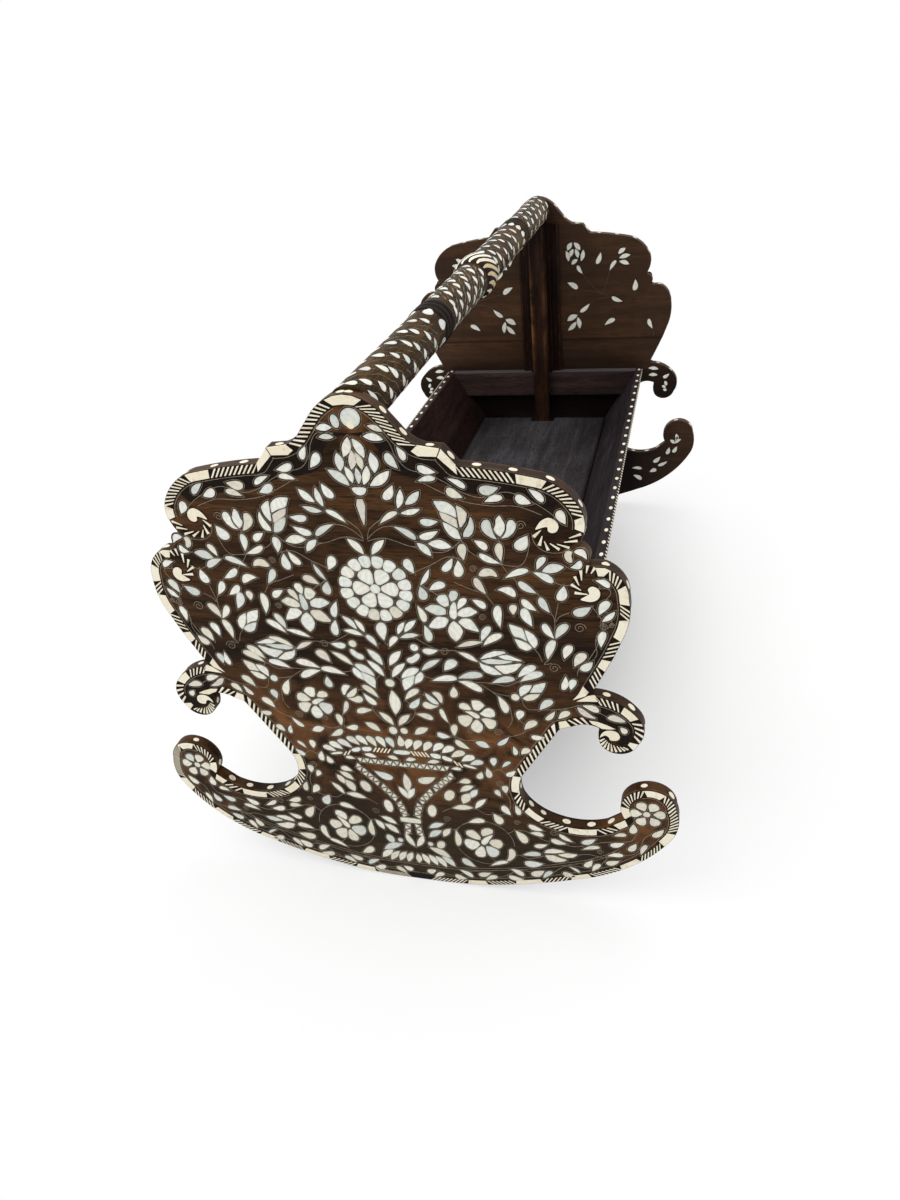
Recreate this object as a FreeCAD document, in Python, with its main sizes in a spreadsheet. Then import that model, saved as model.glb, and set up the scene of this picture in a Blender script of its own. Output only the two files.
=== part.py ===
"""Inlaid wooden rocking cradle: two scalloped end boards on curved rockers, a flared trough,
a turned bar from crest to crest, and a loose floor board.

Millimetres. +Z is up, the long axis lies along Y, and the origin is on the ground below the
middle of the trough. The foot end is at -Y, the head end at +Y.
"""
import FreeCAD, Part
import math
import os
import Sketcher

# Driving dimensions, in millimetres
DIMENSIONS = {
    # End boards
    "cradle_length": 1077,
    "board_thickness": 16,
    "end_height": 628.5,
    "upper_seam_height": 363,
    "lower_seam_height": 237,
    "shield_width": 503,
    "arm_reach": 86,
    "neck_lip": 2.5,
    "rocker_reach": 168,
    "rocker_radius": 400,
    "rocker_sole_width": 220,
    "rocker_flat_width": 40,
    # Trough
    "trough_top_width": 402,
    "trough_bottom_width": 245,
    "rim_height": 303,
    "side_bottom_height": 172,
    "side_thickness": 12,
    "side_tenon_length": 9,
    "side_tenon_thickness": 7,
    # Floor board and its cleats
    "floor_top_height": 208,
    "floor_thickness": 14,
    "floor_side_gap": 2.5,
    "floor_rail_gap": 4,
    "floor_seat_gap": 0.3,
    "notch_side_gap": 9.5,
    "notch_end_gap": 1.5,
    "cleat_width": 20,
    "cleat_depth": 16,
    "cleat_tongue": 4,
    # Post, the two strips behind it and the cross rail inside each end
    "post_width": 28,
    "post_thickness": 22,
    "post_foot_height": 186,
    "post_chamfer": 2.5,
    "post_bar_gap": 0.3,
    "batten_width": 46,
    "batten_foot_radius": 7,
    "backing_width": 78,
    "backing_thickness": 8,
    "backing_bevel": 3,
    "rail_depth": 48,
    "rail_thickness": 18,
    # Turned bar
    "bar_drop": 22,
    "bar_diameter": 48,
    "bead_diameter": 59,
    "bead_length": 62,
    "bead_step": 1.5,
    "bead_place": 516,
    "collar_diameter": 51,
    "collar_length": 42,
    "foot_collar_place": 276,
    "head_collar_place": 796,
    "collar_groove_width": 5,
    "collar_groove_depth": 1.5,
    "bar_tenon_diameter": 22,
    "bar_tenon_length": 11,
    "bar_pin_diameter": 4.5,
    "bar_pin_below_tenon": 5,
    "bar_pin_cover": 2,
    # Dowels
    "seam_dowel_diameter": 7,
    "seam_dowel_length": 40,
    "post_dowel_diameter": 8,
    "post_dowel_in_board": 9,
    "post_dowel_in_post": 13,
    "rail_dowel_diameter": 7,
    "rail_dowel_in_board": 9,
    "rail_dowel_in_rail": 11,
    # Fits
    "joint_clearance": 0.15,
    "dowel_end_gap": 0.5,
    "overrun": 5,
}

# Outlines of the right half of each end board. Each step is the point that an arc passes
# through, or None for a straight run, and then the point that it ends at.
# Crest board: shares of half the shield's width and of the height above the upper seam
CREST_START_SHARES = (0, 1)
CREST_STEP_SHARES = [
    ((0.044, 0.9938), (0.080, 0.9774)),
    ((0.111, 0.9570), (0.139, 0.9300)),
    (None, (0.187, 0.8720)),
    ((0.225, 0.8350), (0.270, 0.8140)),
    (None, (0.335, 0.8095)),
    (None, (0.388, 0.7480)),
    ((0.545, 0.7320), (0.684, 0.7080)),
    ((0.779, 0.6550), (0.831, 0.5840)),
    ((0.837, 0.5180), (0.808, 0.4540)),
    ((0.8537, 0.4060), (0.8445, 0.3790)),
    (None, (0.907, 0.3790)),
    ((0.967, 0.3350), (0.9956, 0.2520)),
    ((0.999, 0.1810), (0.978, 0.0920)),
]
UPPER_SEAM_SHARE = 0.941
# Arm board: shares of the arm's reach beyond the neck and of the height between the seams
ARM_STEP_SHARES = [
    ((0.522, 0.8200), (0.366, 0.6030)),
    ((0.657, 0.5650), (0.913, 0.4290)),
    ((1.002, 0.2780), (0.936, 0.1350)),
    ((0.727, 0.0175), (0.490, 0.0900)),
    ((0.455, 0.1830), (0.469, 0.2780)),
    ((0.320, 0.3020), (0.145, 0.2660)),
]
ARM_ROOT_SHARE = 0.230
# Rocker board: shares of the rocker's reach beyond the neck and of the lower seam's height
NECK_FOOT_SHARE = 0.823
ROCKER_STEP_SHARES = [
    ((-0.028, 0.7430), (-0.006, 0.6580)),
    ((0.077, 0.5840), (0.196, 0.5360)),
    ((0.363, 0.5160), (0.536, 0.5440)),
    (None, (0.655, 0.6100)),
    ((0.634, 0.7220), (0.762, 0.8060)),
    ((0.905, 0.7910), (0.982, 0.6960)),
    ((1.000, 0.6280), (0.970, 0.5230)),
    ((0.863, 0.4090), (0.690, 0.2890)),
    ((0.518, 0.2090), (0.333, 0.1540)),
]
ROCKER_FLANK_SHARES = (0.52, 0.45)
# Upper and lower tenons of the trough sides, as shares of the side's height
SIDE_TENON_SHARES = [(0.20, 0.41), (0.61, 0.885)]
# Dowels across half of each seam, as shares of the seam's half width
UPPER_SEAM_DOWEL_SHARES = (0.36, 0.72)
LOWER_SEAM_DOWEL_SHARES = (0.30, 0.68)
# Dowels of the post: one through the rail, and the others up from the rail to the post's top
POST_DOWEL_RAIL_SHARE = 0.5
POST_DOWEL_SHARES = (0.11, 0.41, 0.765)
RAIL_DOWEL_SHARE = 0.6
COLLAR_GROOVES = 3
# Cosine of half a quarter turn, for the middle of a rounded corner
QUARTER_TURN_SHARE = math.cos(math.pi / 4)

doc = FreeCAD.newDocument("cradle")
sheet = doc.addObject("Spreadsheet::Sheet", "sizes")
for row, (alias, number) in enumerate(DIMENSIONS.items(), start=1):
    sheet.set(f"A{row}", alias)
    sheet.set(f"B{row}", str(number))
    sheet.setAlias(f"B{row}", alias)
doc.recompute()


class Size:
    """A length worked out from the spreadsheet: its value now, and the formula behind it."""

    def __init__(self, value, formula):
        self.value = value
        self.formula = formula

    def __add__(self, other):
        other = as_size(other)
        return Size(self.value + other.value, f"({self.formula} + {other.formula})")

    def __sub__(self, other):
        other = as_size(other)
        return Size(self.value - other.value, f"({self.formula} - {other.formula})")

    def __mul__(self, other):
        other = as_size(other)
        return Size(self.value * other.value, f"({self.formula} * {other.formula})")

    def __truediv__(self, other):
        other = as_size(other)
        return Size(self.value / other.value, f"({self.formula} / {other.formula})")

    def __neg__(self):
        return self * -1


def as_size(number):
    """A plain number as a Size, so that sums can mix the two."""
    if isinstance(number, Size):
        return number
    return Size(number, f"({number})")


def root(size):
    """Square root of a Size."""
    return Size(math.sqrt(size.value), f"sqrt({size.formula})")


def size(alias):
    """The driving dimension of that name."""
    return Size(float(sheet.get(alias)), f"sizes.{alias}")


def bind(item, prop, length):
    """Tie a property of an object to the formula of a Size."""
    item.setExpression(prop, as_size(length).formula)


ZERO = as_size(0)
CLEARANCE = size("joint_clearance")
BOARD = size("board_thickness")
# Length between the inner faces of the end boards, where y is measured from in each end
CLEAR_LENGTH = size("cradle_length") - BOARD * 2
HALF_CLEAR = CLEAR_LENGTH / 2
UPPER_SEAM = size("upper_seam_height")
LOWER_SEAM = size("lower_seam_height")
BAR_RADIUS = size("bar_diameter") / 2
BAR_HEIGHT = size("end_height") - size("bar_drop")
POST_TOP = BAR_HEIGHT - BAR_RADIUS - size("post_bar_gap")
RIM = size("rim_height")
SIDE_BOTTOM = size("side_bottom_height")
SIDE_RISE = RIM - SIDE_BOTTOM
SIDE_RUN = (size("trough_top_width") - size("trough_bottom_width")) / 2
# Level length through a leaning board, for each unit of its thickness
LEAN = root(SIDE_RUN * SIDE_RUN + SIDE_RISE * SIDE_RISE) / SIDE_RISE
WALL = size("side_thickness") * LEAN
RAIL_FOOT = RIM - size("rail_depth")
FLOOR_TOP = size("floor_top_height")
FLOOR_UNDERSIDE = FLOOR_TOP - size("floor_thickness")
CLEAT_TOP = FLOOR_UNDERSIDE - size("floor_seat_gap")
CLEAT_BOTTOM = CLEAT_TOP - size("cleat_depth")
FLOOR_HALF_LENGTH = HALF_CLEAR - size("rail_thickness") - size("floor_rail_gap")


def outer_face(height):
    """Half width over the outside of the trough sides at a height."""
    return size("trough_bottom_width") / 2 + SIDE_RUN * (height - SIDE_BOTTOM) / SIDE_RISE


def inner_face(height):
    """Half width between the inside faces of the trough sides at a height."""
    return outer_face(height) - WALL


def neck_edge(height):
    """Half width of an end board's neck, which follows the trough with a narrow lip."""
    return outer_face(height) + size("neck_lip")


def rocker_sag(across):
    """Height of the rocker's sole above the ground, out past its worn flat."""
    radius = size("rocker_radius")
    past_flat = across - size("rocker_flat_width") / 2
    return radius - root(radius * radius - past_flat * past_flat)


def origin_plane(body, role):
    """The body's own origin plane of that role."""
    return next(plane for plane in body.Origin.OriginFeatures if plane.Role == role)


def new_sketch(body, name, role, offset=None):
    """An empty sketch on one of the body's origin planes, moved along its normal."""
    sketch = body.newObject("Sketcher::SketchObject", name)
    sketch.AttachmentSupport = (origin_plane(body, role), [""])
    sketch.MapMode = "FlatFace"
    if offset is not None:
        bind(sketch, "AttachmentOffset.Base.z", offset)
    return sketch


def pin_point(sketch, geometry, position, point):
    """Hold a point of the sketch at its named distances from the origin."""
    for kind, length in zip(("DistanceX", "DistanceY"), point):
        index = sketch.addConstraint(Sketcher.Constraint(kind, -1, 1, geometry, position, length.value))
        sketch.setExpression(f"Constraints[{index}]", length.formula)


def vector(point):
    """The sketch point as a vector."""
    return FreeCAD.Vector(point[0].value, point[1].value, 0)


def draw_loop(sketch, start, steps):
    """Closed outline from start through (arc point or None, end point) steps, all held in place."""
    points = [start] + [end for via, end in steps]
    ends = []
    for (via, end), begin in zip(steps, points):
        if via is None:
            line = sketch.addGeometry(Part.LineSegment(vector(begin), vector(end)))
            ends.append((line, 1, 2))
            continue
        chord = vector(end) - vector(begin)
        turns_left = chord.cross(vector(via) - vector(begin)).z < 0
        arc = sketch.addGeometry(Part.Arc(vector(begin), vector(via), vector(end)))
        ends.append((arc, 1, 2) if turns_left else (arc, 2, 1))
        middle = sketch.addGeometry(Part.Point(vector(via)), True)
        pin_point(sketch, middle, 1, via)
        sketch.addConstraint(Sketcher.Constraint("PointOnObject", middle, 1, arc))
    line = sketch.addGeometry(Part.LineSegment(vector(points[-1]), vector(start)))
    ends.append((line, 1, 2))
    for number, (geometry, first, last) in enumerate(ends):
        following, following_first, _ = ends[(number + 1) % len(ends)]
        sketch.addConstraint(Sketcher.Constraint("Coincident", geometry, last, following, following_first))
        pin_point(sketch, geometry, first, points[number])


def draw_polygon(sketch, points):
    """Closed outline of straight runs."""
    draw_loop(sketch, points[0], [(None, point) for point in points[1:]])


def draw_rectangle(sketch, low, high):
    """Rectangle between two corners."""
    draw_polygon(sketch, [low, (high[0], low[1]), high, (low[0], high[1])])


def draw_circles(sketch, centres, diameter):
    """Circles of one diameter."""
    for centre in centres:
        circle = Part.Circle(vector(centre), FreeCAD.Vector(0, 0, 1), diameter.value / 2)
        geometry = sketch.addGeometry(circle)
        pin_point(sketch, geometry, 3, centre)
        index = sketch.addConstraint(Sketcher.Constraint("Diameter", geometry, diameter.value))
        sketch.setExpression(f"Constraints[{index}]", diameter.formula)


def pad(body, sketch, length, midplane=False, flip=False):
    """Raise a sketch into a solid."""
    feature = body.newObject("PartDesign::Pad", sketch.Name + "_pad")
    feature.Profile = sketch
    feature.SideType = "Symmetric" if midplane else "One side"
    feature.Reversed = flip
    bind(feature, "Length", length)
    return feature


def pocket(body, sketch, length, midplane=False, flip=False):
    """Cut a sketch into the solid."""
    feature = body.newObject("PartDesign::Pocket", sketch.Name + "_pocket")
    feature.Profile = sketch
    feature.SideType = "Symmetric" if midplane else "One side"
    feature.Reversed = flip
    bind(feature, "Length", length)
    return feature


def mirror(body, feature, sketch, axis):
    """Repeat a feature on the other side of an axis of its sketch."""
    doc.recompute()
    mirrored = body.newObject("PartDesign::Mirrored", sketch.Name + "_mirror")
    mirrored.Originals = [feature]
    mirrored.MirrorPlane = (sketch, [axis])
    body.Tip = mirrored
    return mirrored


def place(item, head_end):
    """Stand a piece of the foot end in its place, or turn it round to the head end."""
    if head_end:
        item.Placement = FreeCAD.Placement(FreeCAD.Vector(), FreeCAD.Rotation(180, 0, 0))
    bind(item, "Placement.Base.y", HALF_CLEAR if head_end else -HALF_CLEAR)


def new_body(name):
    """An empty body that becomes one node."""
    return doc.addObject("PartDesign::Body", name)


def dowel_group(name, spots, diameter, length, along_y=False):
    """Separate dowels in one node, each from its lower or outer end."""
    dowels = []
    for number, spot in enumerate(spots, start=1):
        dowel = doc.addObject("Part::Cylinder", f"{name}_{number}")
        if along_y:
            dowel.Placement.Rotation = FreeCAD.Rotation(0, 0, -90)
        bind(dowel, "Radius", diameter / 2)
        bind(dowel, "Height", length)
        for axis, length_along in zip("xyz", spot):
            bind(dowel, f"Placement.Base.{axis}", length_along)
        dowels.append(dowel)
    group = doc.addObject("Part::Compound", name)
    group.Links = dowels
    return group


def both_sides(points):
    """Points and their mirror images across the middle of the cradle."""
    return list(points) + [(-across, height) for across, height in points]


# Outlines of the end boards, right half, from the middle of the top round to the middle of the foot
def crest_outline():
    half_width = size("shield_width") / 2
    rise = size("end_height") - UPPER_SEAM

    def spot(shares):
        return (half_width * shares[0], UPPER_SEAM + rise * shares[1])

    steps = [(via and spot(via), spot(end)) for via, end in CREST_STEP_SHARES]
    steps.append((None, (half_width * UPPER_SEAM_SHARE, UPPER_SEAM)))
    steps.append((None, (ZERO, UPPER_SEAM)))
    return spot(CREST_START_SHARES), steps


def arm_outline():
    rise = UPPER_SEAM - LOWER_SEAM
    root_height = LOWER_SEAM + rise * ARM_ROOT_SHARE

    def spot(shares):
        across = neck_edge(root_height) + size("arm_reach") * shares[0]
        return (across, LOWER_SEAM + rise * shares[1])

    steps = [(None, (size("shield_width") / 2 * UPPER_SEAM_SHARE, UPPER_SEAM))]
    steps += [(via and spot(via), spot(end)) for via, end in ARM_STEP_SHARES]
    steps.append((None, (neck_edge(root_height), root_height)))
    steps.append((None, (neck_edge(LOWER_SEAM), LOWER_SEAM)))
    steps.append((None, (ZERO, LOWER_SEAM)))
    return (ZERO, UPPER_SEAM), steps


def rocker_outline():
    foot_height = LOWER_SEAM * NECK_FOOT_SHARE
    sole_end = size("rocker_sole_width") / 2
    flat_end = size("rocker_flat_width") / 2
    sole_middle = (sole_end + flat_end) / 2

    def spot(shares):
        return (neck_edge(foot_height) + size("rocker_reach") * shares[0], LOWER_SEAM * shares[1])

    steps = [
        (None, (neck_edge(LOWER_SEAM), LOWER_SEAM)),
        (None, (neck_edge(foot_height), foot_height)),
    ]
    steps += [(via and spot(via), spot(end)) for via, end in ROCKER_STEP_SHARES]
    last = steps[-1][1]
    end = (sole_end, rocker_sag(sole_end))
    along, up = ROCKER_FLANK_SHARES
    steps.append(((end[0] + (last[0] - end[0]) * along, end[1] + (last[1] - end[1]) * up), end))
    steps.append(((sole_middle, rocker_sag(sole_middle)), (flat_end, ZERO)))
    steps.append((None, (ZERO, ZERO)))
    return (ZERO, LOWER_SEAM), steps


def side_tenons(grow):
    """Cross sections of the right side's tenons, grown all round by a clearance."""
    inset = (WALL - size("side_tenon_thickness") * LEAN) / 2
    loops = []
    for low_share, high_share in SIDE_TENON_SHARES:
        low = SIDE_BOTTOM + SIDE_RISE * low_share - grow
        high = SIDE_BOTTOM + SIDE_RISE * high_share + grow
        loops.append([
            (inner_face(low) + inset - grow, low),
            (outer_face(low) - inset + grow, low),
            (outer_face(high) - inset + grow, high),
            (inner_face(high) + inset - grow, high),
        ])
    return loops


def mirrored_points(points):
    """One outline on the other side of the cradle."""
    return [(-across, height) for across, height in points]


def post_dowel_heights():
    """Heights of the dowels behind a post: through the rail, and above it through the strips."""
    rail = RAIL_FOOT + size("rail_depth") * POST_DOWEL_RAIL_SHARE
    return [rail] + [RIM + (POST_TOP - RIM) * share for share in POST_DOWEL_SHARES]


def rail_dowel_spots():
    """Places of the dowels behind a rail, seen from the end."""
    height = RAIL_FOOT + size("rail_depth") / 2
    return both_sides([(inner_face(height) * RAIL_DOWEL_SHARE, height)])


def seam_dowel_places(half_width, shares):
    """Distances of the dowels of one seam from the middle."""
    places = [half_width * share for share in shares]
    return places + [-across for across in places]


UPPER_DOWELS = seam_dowel_places(size("shield_width") / 2 * UPPER_SEAM_SHARE, UPPER_SEAM_DOWEL_SHARES)
LOWER_DOWELS = seam_dowel_places(neck_edge(LOWER_SEAM), LOWER_SEAM_DOWEL_SHARES)


def drill_seam(body, height, places):
    """Dowel holes up and down from a seam, in the middle of the board's thickness."""
    sketch = new_sketch(body, "seam_holes", "XY_Plane", height)
    centres = [(across, -BOARD / 2) for across in places]
    draw_circles(sketch, centres, size("seam_dowel_diameter") + CLEARANCE * 2)
    pocket(body, sketch, size("seam_dowel_length") + size("dowel_end_gap") * 2, midplane=True)


def drill_inside(body, name, spots, diameter, depth):
    """Blind holes in an end board from its inner face."""
    sketch = new_sketch(body, name, "XZ_Plane")
    draw_circles(sketch, spots, diameter + CLEARANCE * 2)
    pocket(body, sketch, depth + size("dowel_end_gap"), flip=True)


def cut_mortises(body):
    """Mortises in an end board for the tenons of both trough sides."""
    sketch = new_sketch(body, "mortises", "XZ_Plane")
    for loop in side_tenons(CLEARANCE):
        draw_polygon(sketch, loop)
        draw_polygon(sketch, mirrored_points(loop))
    pocket(body, sketch, size("side_tenon_length") + size("dowel_end_gap"), flip=True)


def post_hole_spots():
    """Post dowel centres on the inner face of the end boards."""
    return [(ZERO, height) for height in post_dowel_heights()]


def plank(name, outline, head_end):
    """One plank of an end board, with the seats of the pieces that reach into it from inside."""
    body = new_body(name)
    sketch = new_sketch(body, "outline", "XZ_Plane")
    draw_loop(sketch, *outline)
    half = pad(body, sketch, BOARD)
    mirror(body, half, sketch, "V_Axis")
    drill_inside(body, "post_holes", post_hole_spots(), size("post_dowel_diameter"), size("post_dowel_in_board"))
    drill_inside(body, "rail_holes", rail_dowel_spots(), size("rail_dowel_diameter"), size("rail_dowel_in_board"))
    cut_mortises(body)
    place(body, head_end)
    return body


def crest_board(name, head_end):
    body = plank(name, crest_outline(), head_end)
    drill_seam(body, UPPER_SEAM, UPPER_DOWELS)
    drill_inside(body, "bar_hole", [(ZERO, BAR_HEIGHT)], size("bar_tenon_diameter"), size("bar_tenon_length"))
    pin_foot = BAR_HEIGHT - size("bar_tenon_diameter") / 2 - size("bar_pin_below_tenon")
    sketch = new_sketch(body, "pin_hole", "XY_Plane", pin_foot - size("dowel_end_gap"))
    draw_circles(sketch, [(ZERO, -size("bar_tenon_length") / 2)], size("bar_pin_diameter") + CLEARANCE * 2)
    pocket(body, sketch, size("end_height") - pin_foot + size("overrun"), flip=True)
    return body


def arm_board(name, head_end):
    body = plank(name, arm_outline(), head_end)
    drill_seam(body, UPPER_SEAM, UPPER_DOWELS)
    drill_seam(body, LOWER_SEAM, LOWER_DOWELS)
    return body


def rocker_board(name, head_end):
    body = plank(name, rocker_outline(), head_end)
    drill_seam(body, LOWER_SEAM, LOWER_DOWELS)
    return body


def backing_strip(name, head_end):
    """Wide thin strip on the end boards above the rail, with bevelled edges."""
    body = new_body(name)
    half = size("backing_width") / 2
    thickness = size("backing_thickness")
    bevel = size("backing_bevel")
    sketch = new_sketch(body, "section", "XY_Plane", RIM)
    draw_polygon(sketch, [
        (-half, ZERO), (half, ZERO), (half, thickness - bevel), (half - bevel, thickness),
        (bevel - half, thickness), (-half, thickness - bevel),
    ])
    pad(body, sketch, POST_TOP - RIM)
    drill_strip(body, thickness)
    place(body, head_end)
    return body


def batten(name, head_end):
    """Narrower strip between the backing and the post, with its foot rounded above the rail."""
    body = new_body(name)
    half = size("batten_width") / 2
    radius = size("batten_foot_radius")
    slack = radius - radius * QUARTER_TURN_SHARE
    sketch = new_sketch(body, "outline", "XZ_Plane", -size("backing_thickness"))
    draw_loop(sketch, (half - radius, RIM), [
        ((half - slack, RIM + slack), (half, RIM + radius)),
        (None, (half, POST_TOP)),
        (None, (-half, POST_TOP)),
        (None, (-half, RIM + radius)),
        ((slack - half, RIM + slack), (radius - half, RIM)),
    ])
    pad(body, sketch, size("rail_thickness") - size("backing_thickness"), flip=True)
    drill_strip(body, size("rail_thickness"))
    place(body, head_end)
    return body


def drill_strip(body, depth):
    """Holes for the post's dowels right through a strip that lies on the end boards."""
    holes = new_sketch(body, "dowel_holes", "XZ_Plane")
    draw_circles(holes, post_hole_spots(), size("post_dowel_diameter") + CLEARANCE * 2)
    pocket(body, holes, depth + size("overrun"))


def post(name, head_end):
    """Straight upright in front of the rail and the batten, from the floor to the bar."""
    body = new_body(name)
    half = size("post_width") / 2
    back = size("rail_thickness")
    front = back + size("post_thickness")
    chamfer = size("post_chamfer")
    sketch = new_sketch(body, "section", "XY_Plane", size("post_foot_height"))
    draw_polygon(sketch, [
        (-half, back), (half, back), (half, front - chamfer), (half - chamfer, front),
        (chamfer - half, front), (-half, front - chamfer),
    ])
    pad(body, sketch, POST_TOP - size("post_foot_height"))
    holes = new_sketch(body, "dowel_holes", "XZ_Plane")
    draw_circles(holes, post_hole_spots(), size("post_dowel_diameter") + CLEARANCE * 2)
    pocket(body, holes, back + size("post_dowel_in_post") + size("dowel_end_gap"))
    place(body, head_end)
    return body


def cross_rail(name, head_end):
    """Rail across an end of the trough, between the leaning sides."""
    body = new_body(name)
    sketch = new_sketch(body, "outline", "XZ_Plane")
    low = inner_face(RAIL_FOOT) - CLEARANCE
    high = inner_face(RIM) - CLEARANCE
    draw_polygon(sketch, [(-low, RAIL_FOOT), (low, RAIL_FOOT), (high, RIM), (-high, RIM)])
    pad(body, sketch, size("rail_thickness"), flip=True)
    holes = new_sketch(body, "dowel_holes", "XZ_Plane")
    draw_circles(holes, rail_dowel_spots(), size("rail_dowel_diameter") + CLEARANCE * 2)
    pocket(body, holes, size("rail_dowel_in_rail") + size("dowel_end_gap"))
    post_hole = new_sketch(body, "post_dowel_hole", "XZ_Plane")
    draw_circles(post_hole, post_hole_spots()[:1], size("post_dowel_diameter") + CLEARANCE * 2)
    pocket(body, post_hole, size("rail_thickness") + size("overrun"))
    place(body, head_end)
    return body


def seam_dowels(name, head_end):
    """Dowels that join the three planks of an end edge to edge."""
    foot = size("seam_dowel_length") / 2
    spots = [(across, -BOARD / 2, UPPER_SEAM - foot) for across in UPPER_DOWELS]
    spots += [(across, -BOARD / 2, LOWER_SEAM - foot) for across in LOWER_DOWELS]
    group = dowel_group(name, spots, size("seam_dowel_diameter"), size("seam_dowel_length"))
    place(group, head_end)
    return group


def post_dowels(name, head_end):
    """Dowels from the end boards through the rail or the strips into the post."""
    in_board = size("post_dowel_in_board")
    spots = [(ZERO, -in_board, height) for height in post_dowel_heights()]
    length = in_board + size("rail_thickness") + size("post_dowel_in_post")
    group = dowel_group(name, spots, size("post_dowel_diameter"), length, along_y=True)
    place(group, head_end)
    return group


def rail_dowels(name, head_end):
    """Dowels from the arm board into the rail."""
    in_board = size("rail_dowel_in_board")
    spots = [(across, -in_board, height) for across, height in rail_dowel_spots()]
    length = in_board + size("rail_dowel_in_rail")
    group = dowel_group(name, spots, size("rail_dowel_diameter"), length, along_y=True)
    place(group, head_end)
    return group


def bar_pin(name, head_end):
    """Pin down through the crest and the bar's tenon."""
    foot = BAR_HEIGHT - size("bar_tenon_diameter") / 2 - size("bar_pin_below_tenon")
    pin = doc.addObject("Part::Cylinder", name)
    bind(pin, "Radius", size("bar_pin_diameter") / 2)
    bind(pin, "Height", size("end_height") - size("bar_pin_cover") - foot)
    inset = HALF_CLEAR + size("bar_tenon_length") / 2
    bind(pin, "Placement.Base.y", inset if head_end else -inset)
    bind(pin, "Placement.Base.z", foot)
    return pin


def trough_side(name, hand):
    """Leaning side board with a groove for its cleat and two stub tenons at each end."""
    body = new_body(name)
    groove_top = CLEAT_TOP + CLEARANCE
    groove_bottom = CLEAT_BOTTOM - CLEARANCE
    groove_depth = size("cleat_tongue") + CLEARANCE
    section = [
        (outer_face(SIDE_BOTTOM), SIDE_BOTTOM),
        (outer_face(RIM), RIM),
        (inner_face(RIM), RIM),
        (inner_face(groove_top), groove_top),
        (inner_face(groove_top) + groove_depth, groove_top),
        (inner_face(groove_bottom) + groove_depth, groove_bottom),
        (inner_face(groove_bottom), groove_bottom),
        (inner_face(SIDE_BOTTOM), SIDE_BOTTOM),
    ]
    board = new_sketch(body, "section", "XZ_Plane")
    draw_polygon(board, [(across * hand, height) for across, height in section])
    pad(body, board, CLEAR_LENGTH, midplane=True)
    tenons = new_sketch(body, "tenons", "XZ_Plane")
    for loop in side_tenons(ZERO):
        draw_polygon(tenons, [(across * hand, height) for across, height in loop])
    pad(body, tenons, CLEAR_LENGTH + size("side_tenon_length") * 2, midplane=True)
    return body


def floor_cleat(name, hand):
    """Strip let into a side board, under the edge of the floor."""
    body = new_body(name)
    tongue = size("cleat_tongue")
    inner_edge = inner_face(CLEAT_BOTTOM) - size("cleat_width")
    section = [
        (inner_edge, CLEAT_BOTTOM),
        (inner_face(CLEAT_BOTTOM) + tongue, CLEAT_BOTTOM),
        (inner_face(CLEAT_TOP) + tongue, CLEAT_TOP),
        (inner_edge, CLEAT_TOP),
    ]
    sketch = new_sketch(body, "section", "XZ_Plane")
    draw_polygon(sketch, [(across * hand, height) for across, height in section])
    pad(body, sketch, CLEAR_LENGTH, midplane=True)
    return body


def floor_board(name):
    """Loose floor with bevelled edges, short enough to lift out between the rails."""
    body = new_body(name)
    gap = size("floor_side_gap")
    low = inner_face(FLOOR_UNDERSIDE) - gap
    high = inner_face(FLOOR_TOP) - gap
    sketch = new_sketch(body, "section", "XZ_Plane")
    draw_polygon(sketch, [(-low, FLOOR_UNDERSIDE), (low, FLOOR_UNDERSIDE), (high, FLOOR_TOP), (-high, FLOOR_TOP)])
    pad(body, sketch, FLOOR_HALF_LENGTH * 2, midplane=True)
    notches = new_sketch(body, "notches", "XY_Plane", FLOOR_TOP)
    half = size("post_width") / 2 + size("notch_side_gap")
    inner = HALF_CLEAR - size("rail_thickness") - size("post_thickness") - size("notch_end_gap")
    outer = FLOOR_HALF_LENGTH + size("overrun")
    draw_rectangle(notches, (-half, inner), (half, outer))
    draw_rectangle(notches, (-half, -outer), (half, -inner))
    pocket(body, notches, size("floor_thickness") + size("overrun"))
    return body


def collar_steps(middle):
    """Turned outline of one grooved collar, from its near end to its far end."""
    length = size("collar_length")
    radius = size("collar_diameter") / 2
    groove = size("collar_groove_width")
    land = (length - groove * COLLAR_GROOVES) / (COLLAR_GROOVES + 1)
    start = middle - length / 2
    steps = [(None, (BAR_RADIUS, start)), (None, (radius, start))]
    for number in range(COLLAR_GROOVES):
        near = start + land * (number + 1) + groove * number
        bottom = (radius - size("collar_groove_depth"), near + groove / 2)
        steps.append((None, (radius, near)))
        steps.append((bottom, (radius, near + groove)))
    return steps + [(None, (radius, start + length)), (None, (BAR_RADIUS, start + length))]


def bead_steps(middle):
    """Turned outline of the swelling bead, from its near end to its far end."""
    half = size("bead_length") / 2
    foot = BAR_RADIUS + size("bead_step")
    return [
        (None, (BAR_RADIUS, middle - half)),
        (None, (foot, middle - half)),
        ((size("bead_diameter") / 2, middle), (foot, middle + half)),
        (None, (BAR_RADIUS, middle + half)),
    ]


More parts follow.
